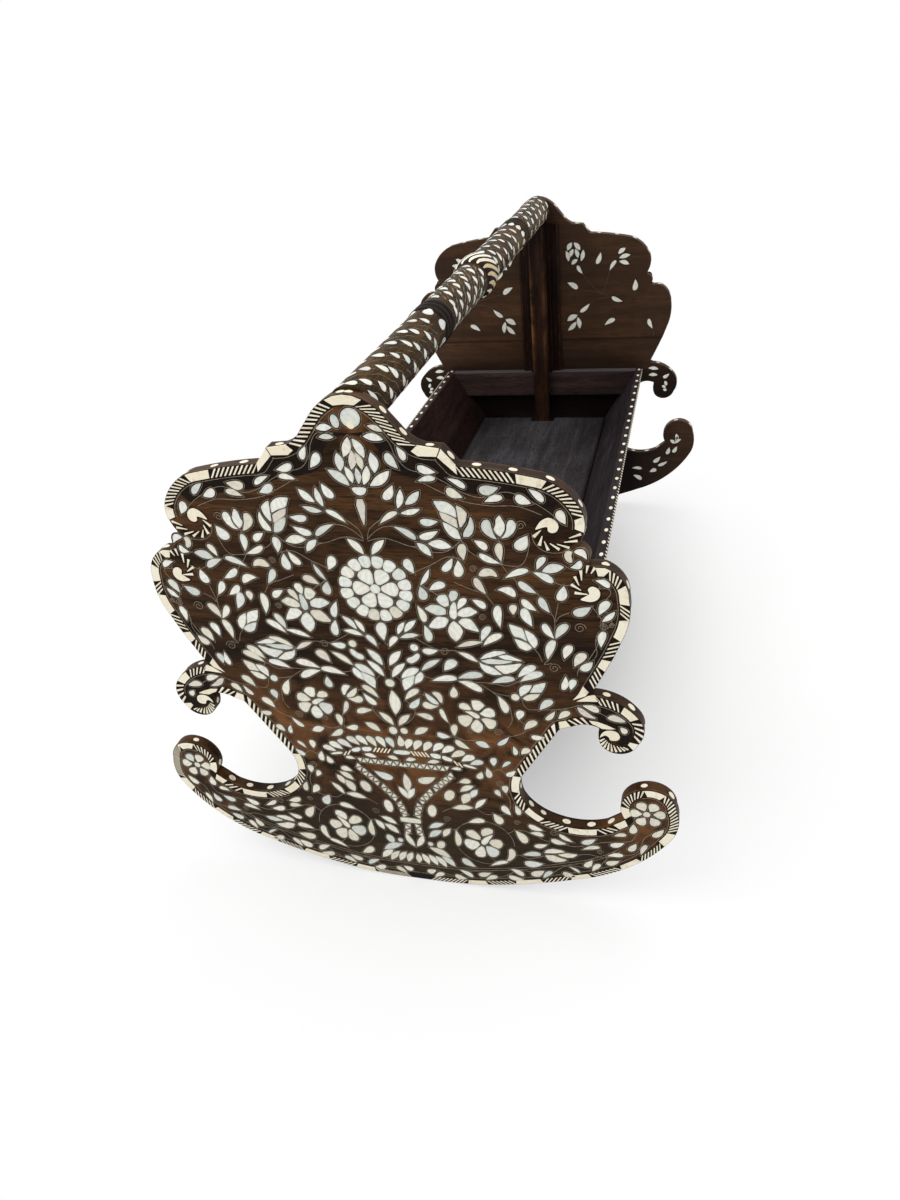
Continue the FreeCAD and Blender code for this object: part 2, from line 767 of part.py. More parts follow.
def top_bar(name):
    """Bar turned in one piece, with a round tenon and a pin hole at each end."""
    body = new_body(name)
    tenon_radius = size("bar_tenon_diameter") / 2
    tenon = size("bar_tenon_length")
    steps = [
        (None, (tenon_radius, -tenon)),
        (None, (tenon_radius, ZERO)),
        (None, (BAR_RADIUS, ZERO)),
    ]
    steps += collar_steps(size("foot_collar_place"))
    steps += bead_steps(size("bead_place"))
    steps += collar_steps(size("head_collar_place"))
    steps += [
        (None, (BAR_RADIUS, CLEAR_LENGTH)),
        (None, (tenon_radius, CLEAR_LENGTH)),
        (None, (tenon_radius, CLEAR_LENGTH + tenon)),
        (None, (ZERO, CLEAR_LENGTH + tenon)),
    ]
    profile = new_sketch(body, "profile", "XY_Plane")
    draw_loop(profile, (ZERO, -tenon), steps)
    doc.recompute()
    turned = body.newObject("PartDesign::Revolution", "turned")
    turned.Profile = profile
    turned.ReferenceAxis = (profile, ["V_Axis"])
    turned.Angle = 360
    holes = new_sketch(body, "pin_holes", "XY_Plane")
    spots = [(ZERO, -tenon / 2), (ZERO, CLEAR_LENGTH + tenon / 2)]
    draw_circles(holes, spots, size("bar_pin_diameter") + CLEARANCE * 2)
    pocket(body, holes, size("bar_tenon_diameter") + size("overrun"), midplane=True)
    bind(body, "Placement.Base.y", -HALF_CLEAR)
    bind(body, "Placement.Base.z", BAR_HEIGHT)
    return body


nodes = []
for end_name, head_end in (("foot", False), ("head", True)):
    for piece_name, make in (
        ("crest_board", crest_board),
        ("arm_board", arm_board),
        ("rocker_board", rocker_board),
        ("seam_dowels", seam_dowels),
        ("post", post),
        ("post_batten", batten),
        ("post_backing", backing_strip),
        ("post_dowels", post_dowels),
        ("rail", cross_rail),
        ("rail_dowels", rail_dowels),
        ("bar_pin", bar_pin),
    ):
        nodes.append(make(f"{end_name}_{piece_name}", head_end))
for side_name, hand in (("right", 1), ("left", -1)):
    nodes.append(trough_side(f"{side_name}_side", hand))
    nodes.append(floor_cleat(f"{side_name}_floor_cleat", hand))
nodes.append(floor_board("floor_board"))
nodes.append(top_bar("top_bar"))
doc.recompute()

# Nothing is written unless every object and every node came out whole
for item in doc.Objects:
    if "Invalid" in item.State or "Error" in item.State:
        raise RuntimeError(f"{item.Label} failed: {item.State}")
for node in nodes:
    if node.Shape.isNull() or not node.Shape.isValid():
        raise RuntimeError(f"{node.Label} has no valid shape")

os.makedirs("parts", exist_ok=True)
for node in nodes:
    node.Shape.exportStep(f"parts/{node.Label}.step")
    print(node.Label, len(node.Shape.Solids), "solids", round(node.Shape.Volume), "mm3")
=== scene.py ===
# Looks of an inlaid rocking cradle: dark walnut set with pearl, bone and wire.
import math
import random

import bmesh
import bpy
from mathutils import Matrix, Vector
from mathutils.geometry import tessellate_polygon


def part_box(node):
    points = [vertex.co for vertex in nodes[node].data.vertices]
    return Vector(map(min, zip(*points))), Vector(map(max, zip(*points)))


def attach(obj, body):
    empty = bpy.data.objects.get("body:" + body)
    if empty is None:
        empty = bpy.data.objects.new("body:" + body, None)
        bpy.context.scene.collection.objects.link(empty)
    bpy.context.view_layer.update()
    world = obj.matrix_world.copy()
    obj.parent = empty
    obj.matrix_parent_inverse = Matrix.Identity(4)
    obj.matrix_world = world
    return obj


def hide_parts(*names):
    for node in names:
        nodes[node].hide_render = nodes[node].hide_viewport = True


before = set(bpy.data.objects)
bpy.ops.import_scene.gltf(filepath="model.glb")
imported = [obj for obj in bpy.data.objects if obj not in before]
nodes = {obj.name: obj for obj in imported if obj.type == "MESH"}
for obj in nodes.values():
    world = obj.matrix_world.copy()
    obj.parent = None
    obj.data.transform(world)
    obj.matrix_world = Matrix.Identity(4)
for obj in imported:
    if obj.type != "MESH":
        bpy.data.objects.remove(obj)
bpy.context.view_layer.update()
chance = random.Random(11)

# All shapes below are in millimetres and become metres when a mesh is made
MM = 0.001


def box_mm(node):
    low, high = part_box(node)
    return [value / MM for value in low], [value / MM for value in high]


crest_low, crest_high = box_mm("foot_crest_board")
arm_low = box_mm("foot_arm_board")[0]
OUTER_Y = -crest_low[1]
INNER_Y = -crest_high[1]
UPPER_SEAM = crest_low[2]
LOWER_SEAM = arm_low[2]
SEAMS = (UPPER_SEAM, LOWER_SEAM)

# The wood lies a little under the CAD face, so that the inlay ends flush with it
SET_BACK = 0.4
EDGE_ROUND = 1.3
WEAR_REACH = 2.4
SEAM_SHARE = 0.3
MASTIC_TOP = -0.26
WIRE_TOP = -0.12
PLATE_TOP = -0.02
PLATE_DEPTH = 1.3
PLATE_CHAMFER = 0.3
CROWN_SHARE = 0.25
HALO = 1.4
WIRE_WIDTH = 0.5
OUTLINE_WIDTH = 0.36
WIRE_CHAMFER = 0.08
WIRE_TINT = 0.5
# Beds of mastic lie at slightly different levels, so that no two faces coincide
BED_SPREAD = 0.02
BED_CHAMFER = 0.05
# How far apart the grain of two plates may be sampled
GRAIN_SHIFT = 500
# Lengths below this count as nothing
TOLERANCE = 0.05


# Flat shapes: each is a list of points, anticlockwise
def signed_area(points):
    total = 0.0
    for (x0, z0), (x1, z1) in zip(points, points[1:] + points[:1]):
        total += x0 * z1 - x1 * z0
    return total / 2


MITRE_LIMIT = 1.8


def grown(points, distance):
    """The shape with its edge moved outwards by distance."""
    turn = 1 if signed_area(points) > 0 else -1
    moved = []
    count = len(points)
    for index, (x, z) in enumerate(points):
        px, pz = points[index - 1]
        nx, nz = points[(index + 1) % count]
        before = Vector((x - px, z - pz)).normalized()
        after = Vector((nx - x, nz - z)).normalized()
        normal = Vector((before.y + after.y, -before.x - after.x)) * turn
        if normal.length < 1e-6:
            normal = Vector((before.y, -before.x)) * turn
        normal.normalize()
        lean = max(normal.dot(Vector((before.y, -before.x)) * turn), 1 / MITRE_LIMIT)
        moved.append((x + normal.x * distance / lean, z + normal.y * distance / lean))
    return moved


CURVE_STEPS = 8


def curve_through(points, steps=CURVE_STEPS):
    """A smooth line through the points."""
    padded = [points[0]] + list(points) + [points[-1]]
    line = []
    for a, b, c, d in zip(padded, padded[1:], padded[2:], padded[3:]):
        for step in range(steps):
            t = step / steps
            spot = []
            for axis in (0, 1):
                p0, p1, p2, p3 = a[axis], b[axis], c[axis], d[axis]
                slope = (p2 - p0) * t + (2 * p0 - 5 * p1 + 4 * p2 - p3) * t * t
                spot.append(p1 + 0.5 * (slope + (3 * p1 - p0 - 3 * p2 + p3) * t ** 3))
            line.append(tuple(spot))
    line.append(tuple(points[-1]))
    return line


def stroke(spine, width_at):
    """A shape along a spine; width_at(share) is its full width there."""
    left, right = [], []
    last = len(spine) - 1
    for index, (x, z) in enumerate(spine):
        ax, az = spine[max(index - 1, 0)]
        bx, bz = spine[min(index + 1, last)]
        along = Vector((bx - ax, bz - az)).normalized()
        half = width_at(index / last) / 2
        left.append((x - along.y * half, z + along.x * half))
        right.append((x + along.y * half, z - along.x * half))
    return right + left[::-1]


def even_stroke(spine, width=WIRE_WIDTH):
    return stroke(spine, lambda share: width)


def wire(points, steps=CURVE_STEPS):
    return even_stroke(curve_through(points, steps))


DROP_SHARES = (0.0, 0.08, 0.18, 0.32, 0.46, 0.6, 0.74, 0.86, 0.94, 0.985)
DROP_WIDEST = 0.64
DROP_FULLNESS = 1.7
LEAF_SHARES = (0.0, 0.07, 0.17, 0.3, 0.43, 0.57, 0.7, 0.83, 0.93, 1.0)
LEAF_FULLNESS = 0.85
DROP_BEND = 0.06
LEAF_BEND = 0.05
OVAL_STEPS = 18
PETAL_STEPS = 4
ROUND_STEPS = 3
CORNER_CUT = 0.25


def drop_width(share):
    if share < DROP_WIDEST:
        return 1 - (1 - share / DROP_WIDEST) ** DROP_FULLNESS
    past = (share - DROP_WIDEST) / (1 - DROP_WIDEST)
    return math.sqrt(max(1 - past * past, 0.0))


def leaf_width(share):
    return math.sin(math.pi * share) ** LEAF_FULLNESS if 0 < share < 1 else 0.0


def bent(start, end, shares, bend):
    """Points from start to end, bowed sideways by bend times the length."""
    sx, sz = start
    dx, dz = end[0] - sx, end[1] - sz
    spots = []
    for share in shares:
        bow = 4 * bend * share * (1 - share)
        spots.append((sx + dx * share - dz * bow, sz + dz * share + dx * bow))
    return spots


def blade(start, end, width, bend, shares, profile):
    spine = bent(start, end, shares, bend)
    length = math.dist(start, end)
    ux, uz = (end[0] - start[0]) / length, (end[1] - start[1]) / length
    right, left = [], []
    for (x, z), share in zip(spine, shares):
        half = width / 2 * profile(share)
        if half < TOLERANCE:
            right.append((x, z))
            continue
        right.append((x + uz * half, z - ux * half))
        left.append((x - uz * half, z + ux * half))
    return right + left[::-1]


def drop(tip_x, tip_z, head_x, head_z, width, bend=DROP_BEND):
    return blade((tip_x, tip_z), (head_x, head_z), width, bend, DROP_SHARES, drop_width)


def leaf(base_x, base_z, tip_x, tip_z, width, bend=LEAF_BEND):
    return blade((base_x, base_z), (tip_x, tip_z), width, bend, LEAF_SHARES, leaf_width)


def oval(x, z, across, along, degrees=0.0):
    turn = math.radians(degrees)
    c, s = math.cos(turn), math.sin(turn)
    points = []
    for step in range(OVAL_STEPS):
        angle = math.tau * step / OVAL_STEPS
        px, pz = across / 2 * math.cos(angle), along / 2 * math.sin(angle)
        points.append((x + px * c - pz * s, z + px * s + pz * c))
    return points


def rounded(points):
    """A closed outline, smoothed."""
    count = len(points)
    smooth = []
    for index in range(count):
        window = [points[(index + step) % count] for step in (-1, 0, 1, 2)]
        smooth += curve_through(window, ROUND_STEPS)[ROUND_STEPS:2 * ROUND_STEPS]
    return smooth


def ring_block(cx, cz, inner, outer, from_angle, to_angle, bulge):
    """One petal of a ring, with a rounded outer end."""
    points = []
    for angle in (to_angle, from_angle):
        points.append((cx + inner * math.cos(angle), cz + inner * math.sin(angle)))
    for step in range(PETAL_STEPS + 1):
        share = step / PETAL_STEPS
        angle = from_angle + (to_angle - from_angle) * share
        radius = outer + bulge * (math.sin(math.pi * share) ** 0.5 - 1)
        points.append((cx + radius * math.cos(angle), cz + radius * math.sin(angle)))
    return cut_corners(cut_corners(points))


def cut_corners(points, share=CORNER_CUT):
    """The shape with each corner cut at a share of its sides."""
    rest = 1 - share
    cut = []
    for (ax, az), (bx, bz) in zip(points, points[1:] + points[:1]):
        cut.append((ax * rest + bx * share, az * rest + bz * share))
        cut.append((ax * share + bx * rest, az * share + bz * rest))
    return cut


def mirrored(points):
    return [(-x, z) for x, z in reversed(points)]


def both_sides(shapes):
    return shapes + [mirrored(shape) for shape in shapes]


def middle_of(shape):
    return [sum(values) / len(shape) for values in zip(*shape)]


# Meshes
def tube_faces(rings):
    """The faces between rings of point numbers, from one ring to the next."""
    faces = []
    for low, high in zip(rings, rings[1:]):
        faces += zip(low, low[1:] + low[:1], high[1:] + high[:1], high)
    return faces


def numbered_rings(rings, count):
    return [list(range(ring * count, (ring + 1) * count)) for ring in range(rings)]


def point_values(mesh, **values):
    for key, numbers in values.items():
        mesh.attributes.new(key, "FLOAT", "POINT").data.foreach_set("value", numbers)


def new_mesh(name, spots, faces, **values):
    """A mesh from points in millimetres, with named values on its points."""
    mesh = bpy.data.meshes.new(name)
    mesh.from_pydata([(x * MM, y * MM, z * MM) for x, y, z in spots], [], faces)
    point_values(mesh, **values)
    return mesh


# Section of a curved strip: depth under its top, and place across as a share of its width
STRIP_SECTION = ((PLATE_DEPTH, -0.5), (0.1, -0.5), (0.0, -0.4), (0.0, 0.0), (0.0, 0.4), (0.1, 0.5),
                 (PLATE_DEPTH, 0.5))
STRIP_TIP = 0.35
STRIP_SWELL = 3.0


class Batch:
    """Small plates on one surface, which become one mesh."""

    def __init__(self):
        self.spots = []
        self.faces = []
        self.tints = []
        self.grains = []
        self.hearts = []

    def add_ring(self, points, place, height, tint, grain, heart=0.0):
        first = len(self.spots)
        for u, v in points:
            self.spots.append(place(u, v, height))
            self.tints.append(tint)
            self.grains.append(grain(u, v))
            self.hearts.append(heart)
        return list(range(first, len(self.spots)))

    def hoop(self, points, place, top, width, depth):
        """A closed line of wire along a shape's edge."""
        if signed_area(points) < 0:
            points = points[::-1]
        inner, outer = grown(points, -width / 2), grown(points, width / 2)

        def grain(u, v):
            return (u, v, 0.0)

        rings = []
        for line, level in ((inner, top - depth), (inner, top), (outer, top), (outer, top - depth)):
            rings.append(self.add_ring(line, place, level, WIRE_TINT, grain))
        self.faces += tube_faces(rings + rings[:1])

    def plate(self, points, place, top, tint, depth=PLATE_DEPTH, chamfer=PLATE_CHAMFER, crowned=False):
        if signed_area(points) < 0:
            points = points[::-1]
        angle = chance.uniform(0, math.tau)
        shift = [chance.uniform(0, GRAIN_SHIFT) for axis in range(3)]
        c, s = math.cos(angle), math.sin(angle)

        def grain(u, v):
            return (u * c - v * s + shift[0], u * s + v * c + shift[1], shift[2])

        inner = grown(points, -chamfer)
        rings = [self.add_ring(points, place, top - depth, tint, grain),
                 self.add_ring(points, place, top - chamfer / 2, tint, grain),
                 self.add_ring(inner, place, top, tint, grain)]
        self.faces += tube_faces(rings)
        self.faces.append(tuple(rings[0][::-1]))
        if not crowned:
            self.faces.append(tuple(rings[-1]))
            return
        count = len(points)
        middle = (sum(u for u, v in inner) / count, sum(v for u, v in inner) / count)
        half = [(u + (middle[0] - u) * CROWN_SHARE, v + (middle[1] - v) * CROWN_SHARE) for u, v in inner]
        crown = self.add_ring(half, place, top, tint, grain, 1.0)
        heart = self.add_ring([middle], place, top, tint, grain, 1.0)[0]
        self.faces += tube_faces([rings[-1], crown])
        for index in range(count):
            self.faces.append((crown[index], crown[(index + 1) % count], heart))

    def strip(self, line, width, place, top, tint):
        """A curved strip with tapered ends, laid as a row of quads."""
        shift = chance.uniform(0, GRAIN_SHIFT)
        rows = []
        last = len(line) - 1
        for index, (u, v) in enumerate(line):
            share = index / last
            taper = width * min(1.0, STRIP_TIP + STRIP_SWELL * min(share, 1 - share))
            row = []
            for drop_by, offset in STRIP_SECTION:
                row.append(len(self.spots))
                self.spots.append(place(u, v + offset * taper, top - drop_by))
                self.tints.append(tint)
                self.grains.append((u + shift, v + shift, shift))
                self.hearts.append(1.0 if offset == 0.0 else 0.0)
            rows.append(row)
        self.faces += tube_faces(rows)
        self.faces.append(tuple(rows[0]))
        self.faces.append(tuple(rows[-1][::-1]))

    def piece(self, name, material, slot):
        mesh = new_mesh(name, self.spots, self.faces, tint=self.tints, heart=self.hearts)
        grain = mesh.attributes.new("grain", "FLOAT_VECTOR", "POINT")
        grain.data.foreach_set("vector", [value for spot in self.grains for value in spot])
        finish_piece(name, mesh, material, slot)


def finish_piece(name, mesh, material, slot, body="frame"):
    work = bmesh.new()
    work.from_mesh(mesh)
    bmesh.ops.recalc_face_normals(work, faces=work.faces)
    work.to_mesh(mesh)
    work.free()
    mesh.materials.append(material)
    piece = bpy.data.objects.new(name, mesh)
    bpy.context.scene.collection.objects.link(piece)
    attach(piece, body)
    return piece


# Node materials
class Graph:
    def __init__(self, name):
        self.material = bpy.data.materials.new(name)
        self.material.use_nodes = True
        self.tree = self.material.node_tree
        self.shader = self.tree.nodes["Principled BSDF"]

    def feed(self, socket, value):
        if isinstance(value, bpy.types.NodeSocket):
            self.tree.links.new(value, socket)
        else:
            socket.default_value = value

    def add(self, kind, **inputs):
        made = self.tree.nodes.new(kind)
        for key, value in inputs.items():
            self.feed(made.inputs[key.replace("_", " ")], value)
        return made

    def attribute(self, name, output="Fac"):
        made = self.tree.nodes.new("ShaderNodeAttribute")
        made.attribute_name = name
        return made.outputs[output]

    def object_space(self, scale):
        place = self.tree.nodes.new("ShaderNodeTexCoord")
        return self.add("ShaderNodeMapping", Vector=place.outputs["Object"], Scale=scale).outputs["Vector"]

    def noise(self, vector, scale, detail=3.0, rough=0.55, distort=0.0):
        made = self.add("ShaderNodeTexNoise", Vector=vector, Scale=scale, Detail=detail,
                        Roughness=rough, Distortion=distort)
        return made.outputs["Fac"]

    def ramp(self, factor, stops):
        made = self.tree.nodes.new("ShaderNodeValToRGB")
        self.feed(made.inputs["Fac"], factor)
        elements = made.color_ramp.elements
        while len(elements) < len(stops):
            elements.new(0.5)
        for element, (position, tone) in zip(elements, stops):
            element.position = position
            element.color = (*tone, 1.0)
        return made.outputs["Color"]

    def grey_ramp(self, factor, low, high, from_value=0.0, to_value=1.0):
        return self.ramp(factor, ((low, (from_value,) * 3), (high, (to_value,) * 3)))

    def mix(self, factor, first, second, blend="MIX"):
        made = self.tree.nodes.new("ShaderNodeMix")
        made.data_type = "RGBA"
        made.blend_type = blend
        self.feed(made.inputs[0], factor)
        for socket, value in ((made.inputs[6], first), (made.inputs[7], second)):
            self.feed(socket, value if isinstance(value, bpy.types.NodeSocket) else (*value, 1.0))
        return made.outputs[2]

    def math(self, operation, first, second):
        made = self.tree.nodes.new("ShaderNodeMath")
        made.operation = operation
        self.feed(made.inputs[0], first)
        self.feed(made.inputs[1], second)
        return made.outputs[0]

    def times(self, first, second):
        return self.math("MULTIPLY", first, second)

    def most(self, first, second):
        return self.math("MAXIMUM", first, second)

    def size(self, value):
        return self.math("ABSOLUTE", value, 0.0)

    def spot(self, vector):
        return self.add("ShaderNodeSeparateXYZ", Vector=vector).outputs

    def bump(self, height, strength, distance):
        made = self.add("ShaderNodeBump", Height=height, Strength=strength, Distance=distance)
        self.feed(self.shader.inputs["Normal"], made.outputs["Normal"])

    def surface(self, **inputs):
        for key, value in inputs.items():
            self.feed(self.shader.inputs[key.replace("_", " ")], value)


# Scale of textures that aren't stretched
EVEN = (1, 1, 1)
GRAIN_STRETCH = 0.085
WOOD_SPECULAR = 0.06
# Noise of the wood: scale, detail, roughness and distortion
BROAD = (16, 3, 0.5, 0.6)
STREAKS = (95, 6, 0.62, 0.4)
BLOTCHES = (7, 5, 0.6, 0.5)
PORES = (620, 2, 0.5)
WORN_PATCHES = (55, 4, 0.6)
BARE_PATCHES = (22, 5, 0.62, 0.8)
LIT_RUBBED_PATCHES = (24, 4, 0.6)
# Ramps, here and below: from and to, and the values there where they aren't 0 and 1
PORE_RAMP = (0.52, 0.66, 0.0, 0.6)
WORN_RAMP = (0.42, 0.64)
BARE_RAMP = (0.4, 0.62, 0.0, 0.85)
LIT_RUBBED_RAMP = (0.36, 0.6)
# Most of a noise lies between these
NOISE_RANGE = (0.3, 0.7)
SMOOTHER, ROUGHER = 0.08, 0.12
# Bumps: strength and distance
WOOD_BUMP = (0.35, 0.0007)
# How much each noise counts in the tone
BROAD_SHARE, STREAK_SHARE, BLOTCH_SHARE = 0.3, 0.35, 0.35
PORE_DARKNESS = 0.35
PORE_DEPTH = 0.6


def wood(name, tones, worn, along, rough, stain=None, weather=None, specular=WOOD_SPECULAR):
    """Oiled walnut: broad tone, streaks, pores, and wear along the edges."""
    graph = Graph(name)
    stretch = [1.0, 1.0, 1.0]
    stretch[along] = GRAIN_STRETCH
    place = graph.object_space(stretch)
    everywhere = graph.object_space(EVEN)
    broad = graph.noise(place, *BROAD)
    streak = graph.noise(place, *STREAKS)
    blotch = graph.noise(everywhere, *BLOTCHES)
    pores = graph.noise(place, *PORES)
    fine = graph.math("ADD", graph.times(broad, BROAD_SHARE), graph.times(streak, STREAK_SHARE))
    tone = graph.math("ADD", fine, graph.times(blotch, BLOTCH_SHARE))
    colour = graph.ramp(tone, tones)
    pore_mask = graph.grey_ramp(pores, *PORE_RAMP)
    colour = graph.mix(pore_mask, colour, [value * PORE_DARKNESS for value in tones[0][1]])
    patches = graph.noise(everywhere, *WORN_PATCHES)
    wear = graph.times(graph.attribute("wear"), graph.grey_ramp(patches, *WORN_RAMP))
    colour = graph.mix(wear, colour, worn)
    if weather:
        colour = weather(graph, colour, everywhere)
    if stain:
        colour = graph.mix(graph.attribute("stain"), colour, stain)
    height = graph.math("SUBTRACT", streak, graph.times(pore_mask, PORE_DEPTH))
    graph.bump(height, *WOOD_BUMP)
    graph.surface(Base_Color=colour, Specular_IOR_Level=specular,
                  Roughness=graph.grey_ramp(streak, *NOISE_RANGE, rough - SMOOTHER, rough + ROUGHER))
    return graph.material


# Places on the wood, from here to the materials, are in metres
# Rubbed places of the outer faces: a point, its distance from the middle first, and the reach
RUBBED_SPOTS = (((0.0, 0.0, 0.606), 0.045), ((0.13, 0.0, 0.225), 0.12), ((0.0, 0.0, 0.215), 0.12),
                ((0.272, 0.0, 0.135), 0.075), ((0.21, 0.0, 0.485), 0.03))
RUBBED_CORE = 0.2
SEAM_HEIGHT = 0.2385
SEAM_RAMP = (0.0012, 0.0055, 0.8, 0.0)
# Inside, painted shade with some grime blackens the trough below these heights
TROUGH_SHADE_RAMP = (0.28, 0.335, 0.96, 0.0)
ARM_RAMP = (0.2, 0.235, 0.0, 0.85)
JOINT_RAMP = (0.0005, 0.0018, 0.6, 0.0)
TROUGH_RAMP = (0.18, 0.27, 1.0, 0.1)
DIRT_RAMP = (0.08, 0.16, 0.5, 0.0)
DUST_AND_SHEEN_RAMP = (0.4, 0.9, 0.0, 0.85)
# Darker edges and head end of the floor: painted shade, with some grime
FLOOR_EDGE = [(box_mm("floor_board")[1][0] - inset) * MM for inset in (9.0, 1.5)]
FLOOR_EDGE_VALUES = (0.0, 0.95)
FLOOR_END_RAMP = (0.0, 0.5, 0.0, 0.4)
# The left edge of a post is painted lighter than the right one: a painted highlight, with some rubbing
LEFT_RAMP = (0.0, 1.0, 0.4, 0.85)
# Wood this close to an outer or inner face, in mm, counts as outside or inside
OUTER_SKIN = 4
INNER_SKIN = 3
POST_RIM = (0.0065, 0.0115)
POST_SIDE = 0.0155
# How far a post's edges are lighter at each height: painted highlight, with some rubbing
POST_LIT_AND_RUBBED = ((0.3, (0.0,) * 3), (0.36, (1.0,) * 3), (0.46, (0.8,) * 3), (0.53, (0.1,) * 3))


def weathered_and_shaded(graph, colour, everywhere):
    """Reddish, rubbed wood outside; dirt low down; inside, painted shade with some grime deep in the trough,
    and a dark joint.
    """
    spot = graph.spot(everywhere)
    across = graph.size(spot["X"])
    depth = graph.size(spot["Y"])
    flat = graph.add("ShaderNodeCombineXYZ", X=across, Z=spot["Z"]).outputs["Vector"]
    outside = graph.math("GREATER_THAN", depth, (OUTER_Y - OUTER_SKIN) * MM)
    inside = graph.math("LESS_THAN", depth, (INNER_Y + INNER_SKIN) * MM)
    dirt = graph.times(outside, graph.grey_ramp(spot["Z"], *DIRT_RAMP))
    colour = graph.mix(dirt, colour, DIRT)
    nearness = 0.0
    for place, reach in RUBBED_SPOTS:
        distance = graph.add("ShaderNodeVectorMath", Vector=flat)
        distance.operation = "DISTANCE"
        distance.inputs[1].default_value = place
        closeness = graph.grey_ramp(distance.outputs["Value"], reach * RUBBED_CORE, reach, 1.0, 0.0)
        nearness = graph.most(closeness, nearness)
    off_seam = graph.size(graph.math("SUBTRACT", spot["Z"], SEAM_HEIGHT))
    nearness = graph.math("ADD", nearness, graph.grey_ramp(off_seam, *SEAM_RAMP))
    bare = graph.grey_ramp(graph.noise(everywhere, *BARE_PATCHES), *BARE_RAMP)
    not_inside = graph.math("SUBTRACT", 1.0, inside)
    share = graph.times(graph.times(bare, nearness), not_inside)
    colour = graph.mix(share, colour, RUBBED)
    # Painted shade with some grime: inner faces go near black low in the trough and under the rail, and the
    # upper joint shows as a dark line
    reached = graph.most(graph.grey_ramp(across, *TROUGH_RAMP), graph.grey_ramp(spot["Z"], *ARM_RAMP))
    shade_and_grime = graph.times(reached, graph.grey_ramp(spot["Z"], *TROUGH_SHADE_RAMP))
    off_joint = graph.size(graph.math("SUBTRACT", spot["Z"], UPPER_SEAM * MM))
    shade_and_grime = graph.most(shade_and_grime, graph.grey_ramp(off_joint, *JOINT_RAMP))
    shade_and_grime = graph.times(inside, shade_and_grime)
    colour = graph.mix(graph.times(inside, INNER_SHARE), colour, INNER_BROWN)
    return graph.mix(shade_and_grime, colour, SHADE_AND_GRIME_BLACK)


PEARL_TONES = (
    (0.0, (0.40, 0.45, 0.41)), (0.2, (0.59, 0.63, 0.57)), (0.42, (0.77, 0.78, 0.71)),
    (0.6, (0.80, 0.78, 0.66)), (0.8, (0.64, 0.58, 0.39)), (1.0, (0.48, 0.36, 0.29)))
PEARL_GLINTS = (
    (0.3, (0.47, 0.60, 0.54)), (0.44, (0.88, 0.89, 0.84)), (0.58, (0.84, 0.77, 0.66)),
    (0.7, (0.54, 0.61, 0.65)))
# Dark of a pearl piece's edge: painted shade of a rounded edge, with some grime
PEARL_EDGE_SHADE = (0.24, 0.22, 0.16)
PEARL_SHADE = (0.50, 0.51, 0.48)
PEARL_CRACKS = (0.42, 0.36, 0.28)
GLINT_SHARE = 0.4
GLINT_NOISE = (0.13, 2, 0.5, 1.0)
PEARL_BANDS = {"Scale": 0.05, "Distortion": 9.0, "Detail": 3.0, "Detail_Scale": 0.35}
SHADE_RAMP = (0.05, 0.75, 0.24, 0.0)
CRACK_NOISE = (0.42, 5, 0.7)
CRACK_RAMP = (0.6, 0.75, 0.0, 0.35)
RIM_RAMP = (0.0, 0.9, 0.5, 0.0)
EDGE_SHADE_NOISE = (0.3, 3, 0.6)
EDGE_SHADE_RAMP = (0.3, 0.65, 0.15, 1.0)
PEARL_BUMP = (0.12, 0.0003)
PEARL_ROUGHNESS = (0.0, 0.35, 0.24, 0.5)
BONE_TONES = (
    (0.0, (0.50, 0.37, 0.17)), (0.12, (0.66, 0.56, 0.38)), (0.35, (0.80, 0.72, 0.53)),
    (1.0, (0.88, 0.83, 0.68)))
BONE_LINES = (0.55, 0.42, 0.24)
BONE_STAINS = (0.42, 0.30, 0.17)
FIBRE_SCALE = (0.12, 1.0, 1.0)
FIBRE_NOISE = (1.1, 4, 0.65)
FIBRE_RAMP = (0.5, 0.72, 0.0, 0.4)
STAIN_NOISE = (0.11, 4, 0.6)
STAIN_RAMP = (0.56, 0.74, 0.0, 0.55)
BONE_BUMP = (0.2, 0.0003)
BONE_ROUGHNESS = (*NOISE_RANGE, 0.36, 0.55)
# Mottling of the plain materials: detail and roughness
MOTTLE = (4, 0.6)
MOTTLE_BUMP = (0.25, 0.0004)
MOTTLE_SPREAD = 0.1


def floor_shade_and_grime(graph, colour, everywhere):
    """The floor is darker towards the head and along its edges: painted shade by the walls and under the
    head, with some grime.
    """
    spot = graph.spot(everywhere)
    edges = graph.grey_ramp(graph.size(spot["X"]), *FLOOR_EDGE, *FLOOR_EDGE_VALUES)
    ends = graph.grey_ramp(spot["Y"], *FLOOR_END_RAMP)
    return graph.mix(graph.most(edges, ends), colour, SHADE_AND_GRIME_BLACK)


def dust_and_sheen(graph, colour, everywhere):
    """Faces that look up are lighter grey: a painted sheen of the light from above, with some dust."""
    facing = graph.tree.nodes.new("ShaderNodeNewGeometry").outputs["True Normal"]
    upward = graph.spot(facing)["Z"]
    return graph.mix(graph.grey_ramp(upward, *DUST_AND_SHEEN_RAMP), colour, DUST_AND_SHEEN)


def lit_and_rubbed_edges(graph, colour, everywhere):
    """The long edges of a post are lighter at half height, the left one more: a painted orange highlight,
    with some rubbing.
    """
    spot = graph.spot(everywhere)
    across = graph.size(spot["X"])
    rim = graph.times(graph.grey_ramp(across, *POST_RIM), graph.math("LESS_THAN", across, POST_SIDE))
    rim = graph.times(rim, graph.ramp(spot["Z"], POST_LIT_AND_RUBBED))
    left = graph.math("LESS_THAN", spot["X"], 0.0)
    rim = graph.times(rim, graph.grey_ramp(left, *LEFT_RAMP))
    patches = graph.grey_ramp(graph.noise(everywhere, *LIT_RUBBED_PATCHES), *LIT_RUBBED_RAMP)
    return graph.mix(graph.times(rim, patches), colour, WORN_AND_LIT_POST)


